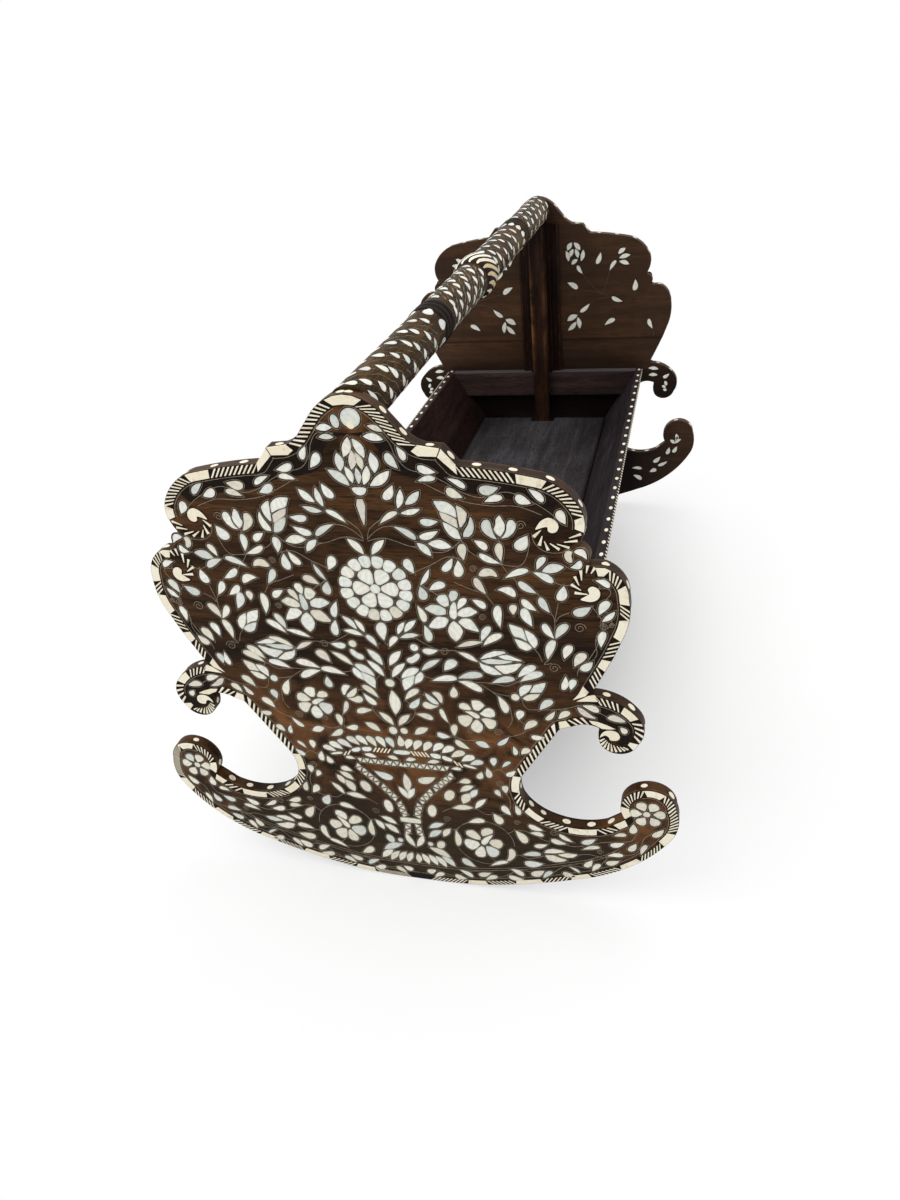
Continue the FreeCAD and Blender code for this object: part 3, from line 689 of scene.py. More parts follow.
def pearl_material():
    graph = Graph("pearl")
    grain = graph.attribute("grain", "Vector")
    tone = graph.ramp(graph.attribute("tint"), PEARL_TONES)
    glints = graph.ramp(graph.noise(grain, *GLINT_NOISE), PEARL_GLINTS)
    colour = graph.mix(GLINT_SHARE, tone, glints)
    bands = graph.add("ShaderNodeTexWave", Vector=grain, **PEARL_BANDS).outputs["Fac"]
    shade = graph.grey_ramp(bands, *SHADE_RAMP)
    colour = graph.mix(shade, colour, PEARL_SHADE)
    cracks = graph.grey_ramp(graph.noise(grain, *CRACK_NOISE), *CRACK_RAMP)
    colour = graph.mix(cracks, colour, PEARL_CRACKS)
    # Painted shade: each flat piece darkens towards its edge in patches, as if rounded, with some grime
    rim = graph.grey_ramp(graph.attribute("heart"), *RIM_RAMP)
    edge_shade = graph.grey_ramp(graph.noise(grain, *EDGE_SHADE_NOISE), *EDGE_SHADE_RAMP)
    colour = graph.mix(graph.times(rim, edge_shade), colour, PEARL_EDGE_SHADE)
    graph.bump(bands, *PEARL_BUMP)
    graph.surface(Base_Color=colour, Roughness=graph.grey_ramp(cracks, *PEARL_ROUGHNESS),
                  Coat_Weight=0.25, Coat_Roughness=0.12)
    return graph.material


def bone_material():
    graph = Graph("bone")
    grain = graph.attribute("grain", "Vector")
    tone = graph.ramp(graph.attribute("tint"), BONE_TONES)
    fibres = graph.add("ShaderNodeMapping", Vector=grain, Scale=FIBRE_SCALE).outputs["Vector"]
    lines = graph.noise(fibres, *FIBRE_NOISE)
    stains = graph.noise(grain, *STAIN_NOISE)
    colour = graph.mix(graph.grey_ramp(lines, *FIBRE_RAMP), tone, BONE_LINES)
    colour = graph.mix(graph.grey_ramp(stains, *STAIN_RAMP), colour, BONE_STAINS)
    graph.bump(lines, *BONE_BUMP)
    graph.surface(Base_Color=colour, Roughness=graph.grey_ramp(stains, *BONE_ROUGHNESS))
    return graph.material


def plain_material(name, low, high, scale, rough, metal=0.0):
    """A small dark or dull surface with fine mottling."""
    graph = Graph(name)
    mottle = graph.noise(graph.object_space(EVEN), scale, *MOTTLE)
    graph.bump(mottle, *MOTTLE_BUMP)
    colour = graph.ramp(mottle, list(zip(NOISE_RANGE, (low, high))))
    roughness = graph.grey_ramp(mottle, *NOISE_RANGE, rough - MOTTLE_SPREAD, rough + MOTTLE_SPREAD)
    graph.surface(Base_Color=colour, Metallic=metal, Specular_IOR_Level=WOOD_SPECULAR, Roughness=roughness)
    return graph.material


WALNUT = ((0.40, (0.010, 0.005, 0.002)), (0.48, (0.025, 0.012, 0.005)), (0.56, (0.060, 0.027, 0.010)),
          (0.66, (0.130, 0.056, 0.018)))
TURNED = ((0.38, (0.012, 0.007, 0.003)), (0.5, (0.050, 0.028, 0.011)), (0.62, (0.125, 0.068, 0.025)))
SMOKED = ((0.36, (0.005, 0.003, 0.002)), (0.5, (0.016, 0.007, 0.005)), (0.7, (0.055, 0.023, 0.010)))
# The trough walls are one grimed wood: the left one's darker, redder tones are painted shade, and the right
# one's greyer, bluer tones are a painted reflection of the sky
SHADED_GRIMED_SIDE = ((0.34, (0.008, 0.004, 0.004)), (0.5, (0.020, 0.010, 0.009)), (0.68, (0.044, 0.022, 0.020)))
SKY_SHEEN_SIDE = ((0.34, (0.012, 0.009, 0.009)), (0.5, (0.026, 0.020, 0.022)), (0.68, (0.054, 0.045, 0.049)))
RAILED = ((0.34, (0.016, 0.010, 0.009)), (0.5, (0.036, 0.022, 0.020)), (0.68, (0.075, 0.048, 0.042)))
DUSTED = ((0.36, (0.022, 0.019, 0.020)), (0.5, (0.046, 0.041, 0.045)), (0.66, (0.094, 0.088, 0.096)))
WORN = (0.115, 0.066, 0.039)
WORN_DARK = (0.075, 0.050, 0.042)
# Orange of a post: worn eased edges, and a painted highlight along its long edges at half height
WORN_AND_LIT_POST = (0.20, 0.085, 0.030)
RUBBED = (0.16, 0.066, 0.022)
DIRT = (0.030, 0.022, 0.012)
# Near black for painted shade in the trough and on the floor, with some grime, and for the dark joint
SHADE_AND_GRIME_BLACK = (0.005, 0.003, 0.003)
# Pale grey of the faces that look up: painted sheen, with some dust
DUST_AND_SHEEN = (0.095, 0.083, 0.088)
INNER_BROWN = (0.072, 0.040, 0.026)
INNER_SHARE = 0.4
EBONY = (0.014, 0.010, 0.010)

X_AXIS, Y_AXIS, Z_AXIS = 0, 1, 2
end_wood = wood("end_wood", WALNUT, WORN, X_AXIS, 0.42, weather=weathered_and_shaded)
bar_wood = wood("bar_wood", TURNED, WORN, Y_AXIS, 0.36, stain=EBONY, specular=0.012)
post_wood = wood("post_wood", SMOKED, WORN_AND_LIT_POST, Z_AXIS, 0.42, weather=lit_and_rubbed_edges)
rail_wood = wood("rail_wood", RAILED, WORN_DARK, X_AXIS, 0.5, weather=dust_and_sheen)
left_wood = wood("left_wood", SHADED_GRIMED_SIDE, WORN_DARK, Y_AXIS, 0.46)
right_wood = wood("right_wood", SKY_SHEEN_SIDE, WORN_DARK, Y_AXIS, 0.46)
floor_wood = wood("floor_wood", DUSTED, WORN_DARK, Y_AXIS, 0.5, weather=floor_shade_and_grime)
peg_wood = wood("peg_wood", WALNUT, WORN, Z_AXIS, 0.5)
pearl = pearl_material()
bone = bone_material()
mastic = plain_material("mastic", (0.005, 0.003, 0.002), (0.014, 0.008, 0.005), 260, 0.5)
wire_metal = plain_material("wire", (0.14, 0.11, 0.08), (0.36, 0.30, 0.22), 400, 0.45, 0.3)
dull_wire = plain_material("dull_wire", (0.05, 0.036, 0.026), (0.15, 0.115, 0.085), 400, 0.45, 0.3)

# Kinds of inlay: how a piece's name ends, its material and its slot
PEARL = ("_pearl", pearl, "pearl")
BONE = ("_bone", bone, "bone")
BEAD_BONE = ("_bead_bone", bone, "bone")
MASTIC = ("_mastic", mastic, "inlaid_wood")
WIRE = ("_wire", wire_metal, "wire")
DULL_WIRE = ("_wire", dull_wire, "wire")


def finish_inlay(name, *rows):
    for batch, (ending, material, slot) in rows:
        batch.piece(name + ending, material, slot)


# Boards of the two ends, rebuilt from the CAD outlines with rounded, worn edges
FLATNESS = 0.02


def face_loop(node, plane):
    """The outline of a node's flat face at y = plane, in order."""
    mesh = nodes[node].data
    steps = {}
    for polygon in mesh.polygons:
        spots = [mesh.vertices[index].co / MM for index in polygon.vertices]
        if any(abs(spot.y - plane) > FLATNESS for spot in spots):
            continue
        keys = [(round(spot.x, 2), round(spot.z, 2)) for spot in spots]
        for a, b in zip(keys, keys[1:] + keys[:1]):
            if (b, a) in steps:
                del steps[(b, a)]
            else:
                steps[(a, b)] = True
    follow = {a: b for a, b in steps}
    loops = []
    while follow:
        start = next(iter(follow))
        loop = [start]
        spot = follow.pop(start)
        while spot != start:
            loop.append(spot)
            spot = follow.pop(spot)
        loops.append(loop)
    loop = max(loops, key=len)
    return loop if signed_area(loop) > 0 else loop[::-1]


def on_seam(z):
    return any(abs(z - seam) < TOLERANCE for seam in SEAMS)


def inset_loop(loop, inset, seam_share):
    """The outline moved inwards, but hardly along the plank joints."""
    moved = []
    for (x, z), (new_x, new_z) in zip(loop, grown(loop, -inset)):
        if on_seam(z):
            new_z = z + (new_z - z) * seam_share
        moved.append((new_x, new_z))
    return moved


BOARD_THICKNESS = OUTER_Y - INNER_Y
PART_ROUND = EDGE_ROUND * 0.3
# Rings of a board from its outer to its inner face: inset, depth, share of the inset at a joint, and wear
BOARD_RINGS = (
    (SET_BACK + EDGE_ROUND, SET_BACK, SEAM_SHARE, 0.0),
    (SET_BACK + PART_ROUND, SET_BACK + PART_ROUND, 0.1, 0.8),
    (SET_BACK, SET_BACK + EDGE_ROUND, 0.0, 1.0),
    (SET_BACK, SET_BACK + EDGE_ROUND + WEAR_REACH, 0.0, 0.1),
    (SET_BACK, BOARD_THICKNESS - EDGE_ROUND - WEAR_REACH, 0.0, 0.1),
    (SET_BACK, BOARD_THICKNESS - EDGE_ROUND, 0.0, 1.0),
    (SET_BACK + PART_ROUND, BOARD_THICKNESS - PART_ROUND, 0.1, 0.8),
    (SET_BACK + EDGE_ROUND, BOARD_THICKNESS, SEAM_SHARE, 0.0))


def end_board(node, side):
    """side is -1 for the foot end and 1 for the head end."""
    loop = face_loop(node, side * OUTER_Y)
    count = len(loop)
    spots, wear = [], []
    for inset, depth, seam_share, worn in BOARD_RINGS:
        for x, z in inset_loop(loop, inset, seam_share):
            spots.append((x, side * (OUTER_Y - depth), z))
            wear.append(worn)
    rings = numbered_rings(len(BOARD_RINGS), count)
    faces = tube_faces(rings)
    for ring in (rings[0], rings[-1]):
        cap = [Vector((spots[number][0] * MM, spots[number][2] * MM, 0)) for number in ring]
        for triangle in tessellate_polygon([cap]):
            faces.append(tuple(ring[index] for index in triangle))
    mesh = new_mesh(node + "_wood", spots, faces, wear=wear)
    piece = finish_piece(node + "_wood", mesh, end_wood, "inlaid_wood")
    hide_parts(node)


# Other wooden parts: the CAD shape with its sharp edges eased
MERGE_WITHIN = 0.00001
FLAT_ANGLE = 0.02
SHARP_ANGLE = 0.6


def eased(node, material, width, body="frame"):
    work = bmesh.new()
    work.from_mesh(nodes[node].data)
    bmesh.ops.remove_doubles(work, verts=work.verts, dist=MERGE_WITHIN)
    bmesh.ops.dissolve_limit(work, angle_limit=FLAT_ANGLE, verts=work.verts, edges=work.edges)
    sharp = [line for line in work.edges if line.is_manifold and line.calc_face_angle() > SHARP_ANGLE]
    made = bmesh.ops.bevel(work, geom=sharp, offset=width * MM, segments=2, profile=0.5,
                           affect="EDGES", clamp_overlap=True)
    strips = set(made["faces"])
    wear = [float(all(face in strips for face in vert.link_faces)) for vert in work.verts]
    mesh = bpy.data.meshes.new(node + "_wood")
    work.to_mesh(mesh)
    work.free()
    point_values(mesh, wear=wear)
    piece = finish_piece(node + "_wood", mesh, material, "inner_wood", body)
    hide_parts(node)


# The right-hand edge of an end, from the apex down to the middle of the sole
def stretch_of(loop, start, end):
    """The run of a loop from one point to another, clockwise."""
    turned = loop[::-1]
    first = min(range(len(turned)), key=lambda index: math.dist(turned[index], start))
    run = []
    for step in range(len(turned)):
        spot = turned[(first + step) % len(turned)]
        run.append(spot)
        if math.dist(spot, end) < TOLERANCE:
            break
    return run


def widest(loop, height):
    return max(spot for spot in loop if abs(spot[1] - height) < TOLERANCE)


AXIS_REACH = 40
AXIS_PULL = 0.001


def nearest_axis(loop, pick):
    """The highest or lowest point of the right half, and of equals the one in the middle."""
    pull = AXIS_PULL if pick is max else -AXIS_PULL
    return pick((spot for spot in loop if -FLATNESS < spot[0] < AXIS_REACH),
                key=lambda spot: spot[1] - pull * abs(spot[0]))


crest_loop = face_loop("foot_crest_board", -OUTER_Y)
arm_loop = face_loop("foot_arm_board", -OUTER_Y)
rocker_loop = face_loop("foot_rocker_board", -OUTER_Y)
right_run = stretch_of(crest_loop, nearest_axis(crest_loop, max), widest(crest_loop, UPPER_SEAM))
right_run += stretch_of(arm_loop, widest(arm_loop, UPPER_SEAM), widest(arm_loop, LOWER_SEAM))[1:]
right_run += stretch_of(rocker_loop, widest(rocker_loop, LOWER_SEAM), nearest_axis(rocker_loop, min))[1:]
right_run = [(0.0, right_run[0][1])] + [spot for spot in right_run if spot[0] > TOLERANCE] + [(0.0, 0.0)]


class Path:
    """A line with a measure along it; inward is on its right hand."""
    STEP = 1.0
    WINDOW = 2.5
    LINE_STEP = 4.0

    def __init__(self, points):
        self.points = points
        self.marks = [0.0]
        for a, b in zip(points, points[1:]):
            self.marks.append(self.marks[-1] + math.dist(a, b))
        self.length = self.marks[-1]
        self.samples = [self.at(step * self.STEP) for step in range(int(self.length / self.STEP) + 1)]

    def at(self, s):
        s = min(max(s, 0.0), self.length)
        low, high = 0, len(self.marks) - 1
        while high - low > 1:
            middle = (low + high) // 2
            if self.marks[middle] <= s:
                low = middle
            else:
                high = middle
        share = (s - self.marks[low]) / max(self.marks[high] - self.marks[low], 1e-9)
        (ax, az), (bx, bz) = self.points[low], self.points[high]
        return (ax + (bx - ax) * share, az + (bz - az) * share)

    def near(self, x, z):
        best = min(range(len(self.samples)), key=lambda index: math.dist(self.samples[index], (x, z)))
        return best * self.STEP

    def heading(self, s):
        ax, az = self.at(s - self.WINDOW)
        bx, bz = self.at(s + self.WINDOW)
        return Vector((bx - ax, bz - az)).normalized()

    def inner(self, s, depth):
        x, z = self.at(s)
        along = self.heading(s)
        return (x + along.y * depth, z - along.x * depth)

    def line(self, start, end, depth):
        first, last = self.near(*start), self.near(*end)
        count = max(int((last - first) / self.LINE_STEP), 2)
        return [self.inner(first + (last - first) * index / count, depth) for index in range(count + 1)]


edge = Path(right_run)

# Border of the outer face, right half: bone plates between runs of slanted stripes.
# Each row is where a plate starts and ends on the edge, going down from the apex.
BORDER_PLATES = (
    ((150, 555), (178, 549)), ((209.5, 515), (206, 499)), ((219, 464), (233, 461)),
    ((249, 447), (250.4, 423)), ((248.5, 408), (245, 381)), ((234, 358), (228.5, 344)),
    ((250, 307), (262.5, 289)), ((261, 255.5), (254.8, 246.8)), ((193, 270.5), (181, 266)),
    ((138.5, 191), (137.5, 168)), ((143, 147), (160, 131)), ((186, 124.5), (218, 126)),
    ((237, 133.5), (248.4, 144)), ((249.2, 146), (251, 163)), ((268, 191.5), (291, 185)),
    ((303, 131), (292, 110)), ((268, 82), (246, 63)), ((212, 45), (189, 34)), ((155, 23), (121, 12.5)),
    ((86, 6.5), (60, 3.5)))
# Lengths of the edge that take no stripes: they hold the corner plates below, or a scroll's rays
BORDER_BARE = (
    ((0, 628.5), (18, 623)), ((60, 584), (97.5, 562)), ((206, 499), (219, 464)), ((217, 323), (219, 315)),
    ((254.6, 246.5), (212, 277)), ((14, 0.2), (0, 0)))
CORNER_PLATES = (
    ((57, 575), (63, 580.5), (83.5, 577.4), (80, 570), (63, 570.4)),
    ((84.4, 577), (96.8, 562), (97.5, 553), (80.8, 569.4)),
    ((206, 325), (211.5, 318), (208.5, 312.8), (195.5, 306.4), (201, 314)),
    ((211, 313.4), (217, 314.4), (223, 307), (199, 305)))
APEX_PLATE = (
    (-17.5, 622.8), (-9, 626.4), (0, 627.6), (9, 626.4), (17.5, 622.8), (10, 617.8), (0, 618.8), (-10, 617.8))
SOLE_START = (292, 110)
SOLE_IN = 7.2
BORDER_OUT = 0.9
BORDER_IN = 9.6
STRIPE_PITCH = 5.0
STRIPE_WIDTH = 2.1
STRIPE_LEAN = 7.4
# The first run leans more on the right than on the left
FIRST_LEANS = (12.5, 6.5)
# Runs of their own kind, at the arm's tip, under the arm and down the neck: where they start, lean and scale
OWN_RUNS = (((262.5, 289), -6.0, 1.5), ((212, 277), 5.5, 1.1), ((181, 266), -7.4, 1.32))
PLATE_TAPER = 2.2
PLATE_GAP = 0.4
# A run of stripes: how close it starts to its own mark, the room it leaves, and its end gaps in pitches
RUN_REACH = 1.5
RUN_ROOM = 1.0
RUN_FIRST, RUN_GAPS = 0.45, 0.4
BORDER_WIRE = 11.6
BAND_STEP = 2.5


def border_depth(mark):
    """The border is narrower along the sole."""
    return SOLE_IN if mark > edge.near(*SOLE_START) else BORDER_IN


def band(first, last, near, far, taper=0.0, lean=0.0):
    """A piece of the border between two marks along the edge."""
    count = max(int((last - first) / BAND_STEP), 1)
    outer, inner = [], []
    for index in range(count + 1):
        share = index / count
        outer.append(edge.inner(first + (last - first) * share, near))
        start, end = first + taper + lean, last - taper + lean
        inner.append(edge.inner(start + (end - start) * share, far))
    return outer + inner[::-1]


def border_pieces(first_lean):
    """Plates, and between them stripes that lean the other way after each run."""
    marks = []
    for start, end in BORDER_PLATES:
        marks.append((edge.near(*start), edge.near(*end), "plate"))
    for start, end in BORDER_BARE:
        marks.append((edge.near(*start), edge.near(*end), "bare"))
    marks.sort()
    pieces = [("plate", list(points)) for points in CORNER_PLATES]
    lean = -first_lean
    for index, (first, last, kind) in enumerate(marks):
        if kind == "plate":
            plate = band(first + PLATE_GAP, last - PLATE_GAP, BORDER_OUT, border_depth(first), PLATE_TAPER)
            pieces.append(("plate", plate))
        if index + 1 == len(marks):
            continue
        room = marks[index + 1][0] - last
        tilt, scale = lean, 1.0
        for run_start, own_lean, own_scale in OWN_RUNS:
            if abs(last - edge.near(*run_start)) < RUN_REACH:
                tilt, scale = own_lean, own_scale
        count = int((room - RUN_ROOM) / (STRIPE_PITCH * scale))
        if count < 1:
            continue
        pitch = room / (count + RUN_GAPS)
        for step in range(count):
            start = last + pitch * (step + RUN_FIRST) - tilt / 2
            stripe = band(start, start + STRIPE_WIDTH * scale, BORDER_OUT, border_depth(start), lean=tilt)
            pieces.append(("stripe", stripe))
        lean = -math.copysign(STRIPE_LEAN, lean)
    return pieces


# Scrolls where the border curls in: outlines of their heads, on the ear, the lobe and the arm
SCROLLS = (
    ((165.6, 500.2), (167.5, 504.5), (171.2, 509.3), (177, 512.4), (182, 511.2), (185.6, 507.6),
     (186.6, 503), (184.6, 498.8), (180.6, 497.2), (177, 499), (176.2, 503.2), (170.5, 501.8)),
    ((205, 427.7), (209.5, 431.2), (213.2, 434.2), (212, 438.6), (214, 441.6), (217, 442.4), (221, 440.6),
     (223.2, 436.6), (222.8, 431.5), (219.5, 427.4), (214.5, 425.6), (209, 426.2)),
    ((222.4, 259.8), (223.8, 264.4), (227, 268.4), (231.5, 270.2), (237, 270), (241, 267.4),
     (242.8, 262.6), (241, 258.4), (237, 257), (232.8, 257.6), (231.4, 261), (228, 263.4), (224.5, 261.4)))
# Rays round the scrolls: outer end x and z, inner end x and z, outer width
SCROLL_RAYS = (
    (163.4, 492.6, 170.5, 499.6, 3.4), (168.5, 483.8, 171.5, 493.9, 3.4), (176.6, 479.2, 173.2, 488.5, 3.0),
    (186.8, 480.4, 178.2, 486.5, 2.8), (196, 482.6, 184.7, 486, 2.6), (203.4, 490.1, 191.2, 488.2, 2.6),
    (206.6, 497, 195.8, 492.6, 2.6),
    (199.7, 434.8, 212, 433.6, 3.2), (196.6, 443.9, 205.7, 437.8, 3.2), (200, 452.7, 203.9, 443, 3.0),
    (205.7, 459.5, 206.4, 448.6, 3.0), (212.2, 464.6, 210.7, 456.8, 2.8), (218.6, 462.6, 215, 456.4, 2.8),
    (222.4, 254.8, 227.2, 259, 2.6), (223.8, 250, 229, 257, 2.6), (226.6, 246.4, 230.2, 255.2, 2.6),
    (230.4, 243.6, 231.8, 253.6, 2.6), (234.8, 242, 233.8, 252.2, 2.6), (239.4, 241.9, 236.4, 250.8, 2.6),
    (244, 243, 239.8, 250, 2.6), (248, 244.6, 243, 249.4, 2.4), (251.4, 246.6, 246, 249.6, 2.0))
RAY_TIP = 0.8
# Which rays stand on one piece of black ground: first and last + 1
RAY_GROUPS = ((0, 7), (7, 13), (13, 22))
ARM_PLATE = (
    (211.4, 281.2), (220, 280.6), (229.2, 277.2), (238, 272.8), (231, 271.8), (224.5, 271.8), (220.4, 274.2),
    (214.8, 276.8))

# Loose drops of the outer face, right half: tip x and z, round end x and z, width, and for some a bend
DROPS = (
    # the vine under the crest
    (43, 558, 33, 573, 9), (44, 579, 50, 566, 7), (78, 555, 61, 560, 8), (60, 546, 77, 549, 6),
    (88, 549, 104, 540, 6), (101, 531, 86, 539, 9), (134, 541, 116, 538, 10), (120, 527, 137, 532, 7),
    (163, 526, 149, 533, 9), (161, 540, 174, 528, 7), (193, 506, 187, 520, 9), (35, 542, 25, 527, 9),
    # between the crest and the large rosette
    (17, 501, 36, 514, 6), (75, 506, 57, 505, 8), (30, 499, 51, 486, 7), (74, 496, 55, 488, 8),
    (107, 487, 119, 478, 8), (132, 465, 131, 485, 8), (131, 463, 111, 472, 7), (158, 494, 147, 479, 12),
    (96, 465, 96, 483, 9), (134, 447, 157, 457, 7), (165, 458, 173, 472, 7), (161, 455, 180, 445, 8),
    (164, 432, 147, 444, 8), (126, 434, 144, 428, 9, 0.18), (115, 428, 105, 446, 8), (45, 448, 38, 464, 10),
    (49, 434, 51, 418, 10), (58, 430, 75, 438, 9), (85, 467, 74, 452, 8), (90, 465, 88, 446, 10),
    # round the star flower and out to the lobe
    (100, 421, 113, 412, 8), (126, 390, 125, 416, 9), (140, 406, 141, 418, 8), (163, 412, 149, 424, 8),
    (158, 394, 150, 415, 10), (176, 411, 167, 428, 8), (190, 442, 185, 425, 10), (215, 420, 198, 411, 10),
    (222, 411, 231, 427, 9), (43, 411, 49, 391, 8), (48, 388, 51, 368, 9), (7, 357, 17, 371, 7),
    (59, 357, 42, 355, 8), (106, 372, 116, 391, 8), (107, 367, 127, 382, 8), (179, 381, 169, 398, 8),
    (180, 381, 192, 399, 9), (172, 355, 179, 379, 9), (224, 374, 227, 393, 8), (188, 357, 195, 374, 9),
    (198, 349, 209, 366, 10), (216, 356, 204, 345, 9), (219, 449, 232.5, 442.5, 7, 0.12),
    (211.6, 471.2, 200.6, 480, 7.4, -0.2), (196.2, 461.8, 206.6, 468.8, 7.2, -0.2),
    # the arm board
    (63, 332, 77, 346, 11), (140, 330, 159, 346, 9), (142, 325, 166, 338, 9), (112, 320, 137, 328, 8),
    (118, 304, 126, 282, 9), (138, 274, 142, 287, 9), (161, 290, 175, 304, 9), (180, 280, 192, 291, 8),
    (177, 290, 167, 277, 6), (143, 261, 157, 274, 9), (165, 253, 150, 252, 7), (126, 249, 113, 236, 6),
    (189, 336, 186, 318, 7), (194, 319, 198, 333, 8), (48, 317, 76, 323, 8), (15, 288, 32, 304, 8),
    (77, 323, 104, 330, 9), (77, 320, 102, 309, 9), (25, 270, 44, 265, 8), (32, 293, 19, 278, 8),
    (61, 261, 54, 280, 6), (71, 312, 69, 297, 9), (66, 243, 68, 260, 8), (61, 241, 46, 244, 8),
    (205, 300, 222, 294, 8), (243, 276, 249, 268, 7),
    # the neck
    (82, 226, 66, 237, 8), (138, 226, 148, 235, 8), (130, 237, 132, 224, 6), (107, 204, 108, 217, 8),
    (116, 203, 126, 213, 5), (131, 201, 120, 192, 7), (98, 201, 100, 186, 8), (92, 194, 87, 183, 8),
    (118, 165, 118, 177, 8), (112, 159, 107, 169, 7), (122, 131, 113, 145, 9), (127, 148, 131, 133, 7),
    (64, 174, 78, 178, 8), (37, 178, 15, 169, 11), (57, 194, 69, 195, 5),
    # the rocker
    (53, 96, 54, 69, 8), (70, 111, 90, 117, 8), (101, 130, 109, 114, 11), (73, 35, 57, 47, 10),
    (92, 41, 114, 52, 6), (125, 107, 137, 88, 11), (142, 106, 158, 104, 7), (158, 112, 141, 118, 8),
    (184, 95, 166, 99, 8), (192, 99, 176, 109, 6), (217, 108, 201, 99, 8), (202, 89, 222, 96, 6),
    (249, 108, 233, 101, 8), (262, 109, 254, 96, 8), (267, 92, 273, 109, 6), (162, 90, 146, 84, 7),
    (132, 67, 154, 72, 8), (156, 56, 133, 53, 11), (213, 73, 204, 60, 8), (213, 54, 222, 68, 7),
    (244, 77, 229, 70, 8), (230, 83, 248, 87, 7), (258, 139, 257, 124, 9), (291, 136, 279, 123, 8),
    (237, 117, 251, 121, 6), (194, 41, 178, 45, 8), (186, 57, 199, 49, 4), (155, 31, 166, 45, 7),
    (157, 44, 141, 34, 10), (116, 40, 132, 31, 8), (131, 24, 112, 26, 8), (21, 20, 9, 15, 8),
    (18, 7, 31, 16, 7), (60, 11, 45, 15, 8), (52, 26, 68, 16, 7), (91, 28, 75, 21, 8), (84, 14, 99, 23, 7),
    # the rim of the basket
    (7.5, 217, 14.5, 232, 9), (17, 216, 26, 231.5, 9), (28, 216, 38, 231, 9), (38, 217, 51, 229.5, 9),
    (48, 216, 63, 226.5, 9), (58, 211, 75, 221, 9), (70, 207, 86, 216, 9), (79, 203, 95, 209, 8))

# Leaves, pointed at both ends, right half: base x and z, tip x and z, width
LEAVES = (
    (42, 538, 37, 518, 7), (60, 536, 45, 522, 8), (59, 518, 39, 513, 6), (62, 482, 85, 479, 10),
    (51, 482, 64, 468, 8), (170, 456, 191, 462, 10), (60, 454, 49, 435, 5), (237, 416, 225, 404, 6),
    (18, 374, 27, 390, 6), (26, 377, 40, 393, 7), (20, 370, 41, 375, 6), (80, 357, 100, 346, 6),
    (80, 363, 107, 371, 6), (4, 333, 19, 353, 9), (4, 318, 21, 338, 8), (38, 330, 60, 346, 7),
    (3, 251, 18, 268, 8), (20, 240, 37, 251, 9),
    (88, 237, 104, 231, 9), (4, 467, 19, 484, 8), (64, 160, 81, 171, 8),
    (66, 141, 76, 159, 11), (80, 135, 94, 152, 7), (53, 132, 78, 136, 8), (77, 152, 85, 166, 8),
    (20, 94, 39, 104, 8), (19, 78, 36, 92, 9), (37, 82, 47, 97, 8), (11, 80, 1, 58, 8), (17, 60, 43, 46, 10),
    # the fan at the basket's foot
    (6, 47, 13.5, 29, 8.5), (14, 46.5, 24, 29, 8.5), (23, 46, 36, 28, 8.5), (31, 47, 47, 31, 9))
SINGLE_LEAVES = ((1, 300, 1, 266, 13), (0, 179, 0, 150, 10), (0, 46, 0, 29, 8))
# The lotus and the leaves over it, each with its own tint: base x and z, tip x and z, width, tint
LOTUS = (
    (-1, 588.5, -8, 569, 9, 0.66), (3, 587, 12, 568, 8.5, 0.36), (-14, 573, -13, 554.5, 9, 0.16),
    (19, 574, 20, 553.5, 9.5, 0.32), (1, 575.5, -2, 556, 8, 0.9), (3.5, 573.5, 8, 556, 7, 0.84),
    (-9, 560, -3.5, 543, 7, 0.4), (2.5, 559, 3, 542, 6.2, 0.08), (13, 561, 7, 541.5, 8, 0.6),
    (-26, 556, -6.5, 540, 9.5, 0.14), (34, 556, 13, 540.5, 9.5, 0.56), (-30, 596, -14.5, 597, 7, 0.42),
    (-29, 588, -14, 588, 5.5, 0.05), (19, 599, 33, 593.5, 5.5, 0.84), (14, 589, 33, 586, 7.5, 0.4))
# Shapes drawn point by point, with a tint: in the middle, then those of the right half
DRAWN = (
    (((-5.4, 539), (-4.6, 535), (-1.5, 531.5), (2.5, 530.3), (6.5, 531.5), (9, 535), (9.6, 539)), 0.34),
    (((-4.5, 527), (0.5, 500), (2.5, 500), (7, 527)), 0.97),
    (((-10, 208), (10, 208), (12.5, 214.5), (-7, 214.5)), 0.3),
    (((-15, 101), (-14, 99), (10, 99), (11, 101), (11, 105), (10, 107), (-14, 107), (-15, 105)), 0.75))
DRAWN_TWICE = (
    (((108, 448.5), (109.5, 453), (113, 456.8), (118, 458), (123, 456.4), (126.4, 452), (127, 447.8),
      (121, 449.8), (114, 448)), 0.86),
    (((24, 339.5), (28, 337.5), (33, 340), (38, 345), (39.2, 350), (36, 352), (32.5, 349), (30, 346.5),
      (26, 345.4), (23.4, 342.6)), 0.3),
    (((36.5, 207.6), (47, 207), (47, 214), (33.5, 214.6)), 0.4),
    (((48.4, 206.6), (58.5, 204), (61, 208.6), (48.4, 213.6)), 0.45),
    (((71, 199.6), (86, 196.6), (87, 199.4), (72.4, 203.6)), 0.7),
    (((199, 298), (203.5, 297.6), (208.5, 294), (213, 289.6), (220, 284.4), (213, 284.6), (206.5, 286.4),
      (201.5, 291)), 0.98),
    (((229, 286.6), (232.5, 290.4), (237.5, 291.4), (243, 288.8), (249.6, 283), (241, 282),
      (233.5, 283.4)), 0.9),
    (((190.4, 475), (192.2, 479), (195.5, 480), (198.6, 478.6), (197.6, 475.7), (197.4, 473),
      (198.7, 467.8), (195.5, 466.6), (191.8, 469.6)), 0.88))
SINGLE_DROPS = ((2, 365, 2, 388, 12), (1, 236.5, 1, 220, 9))
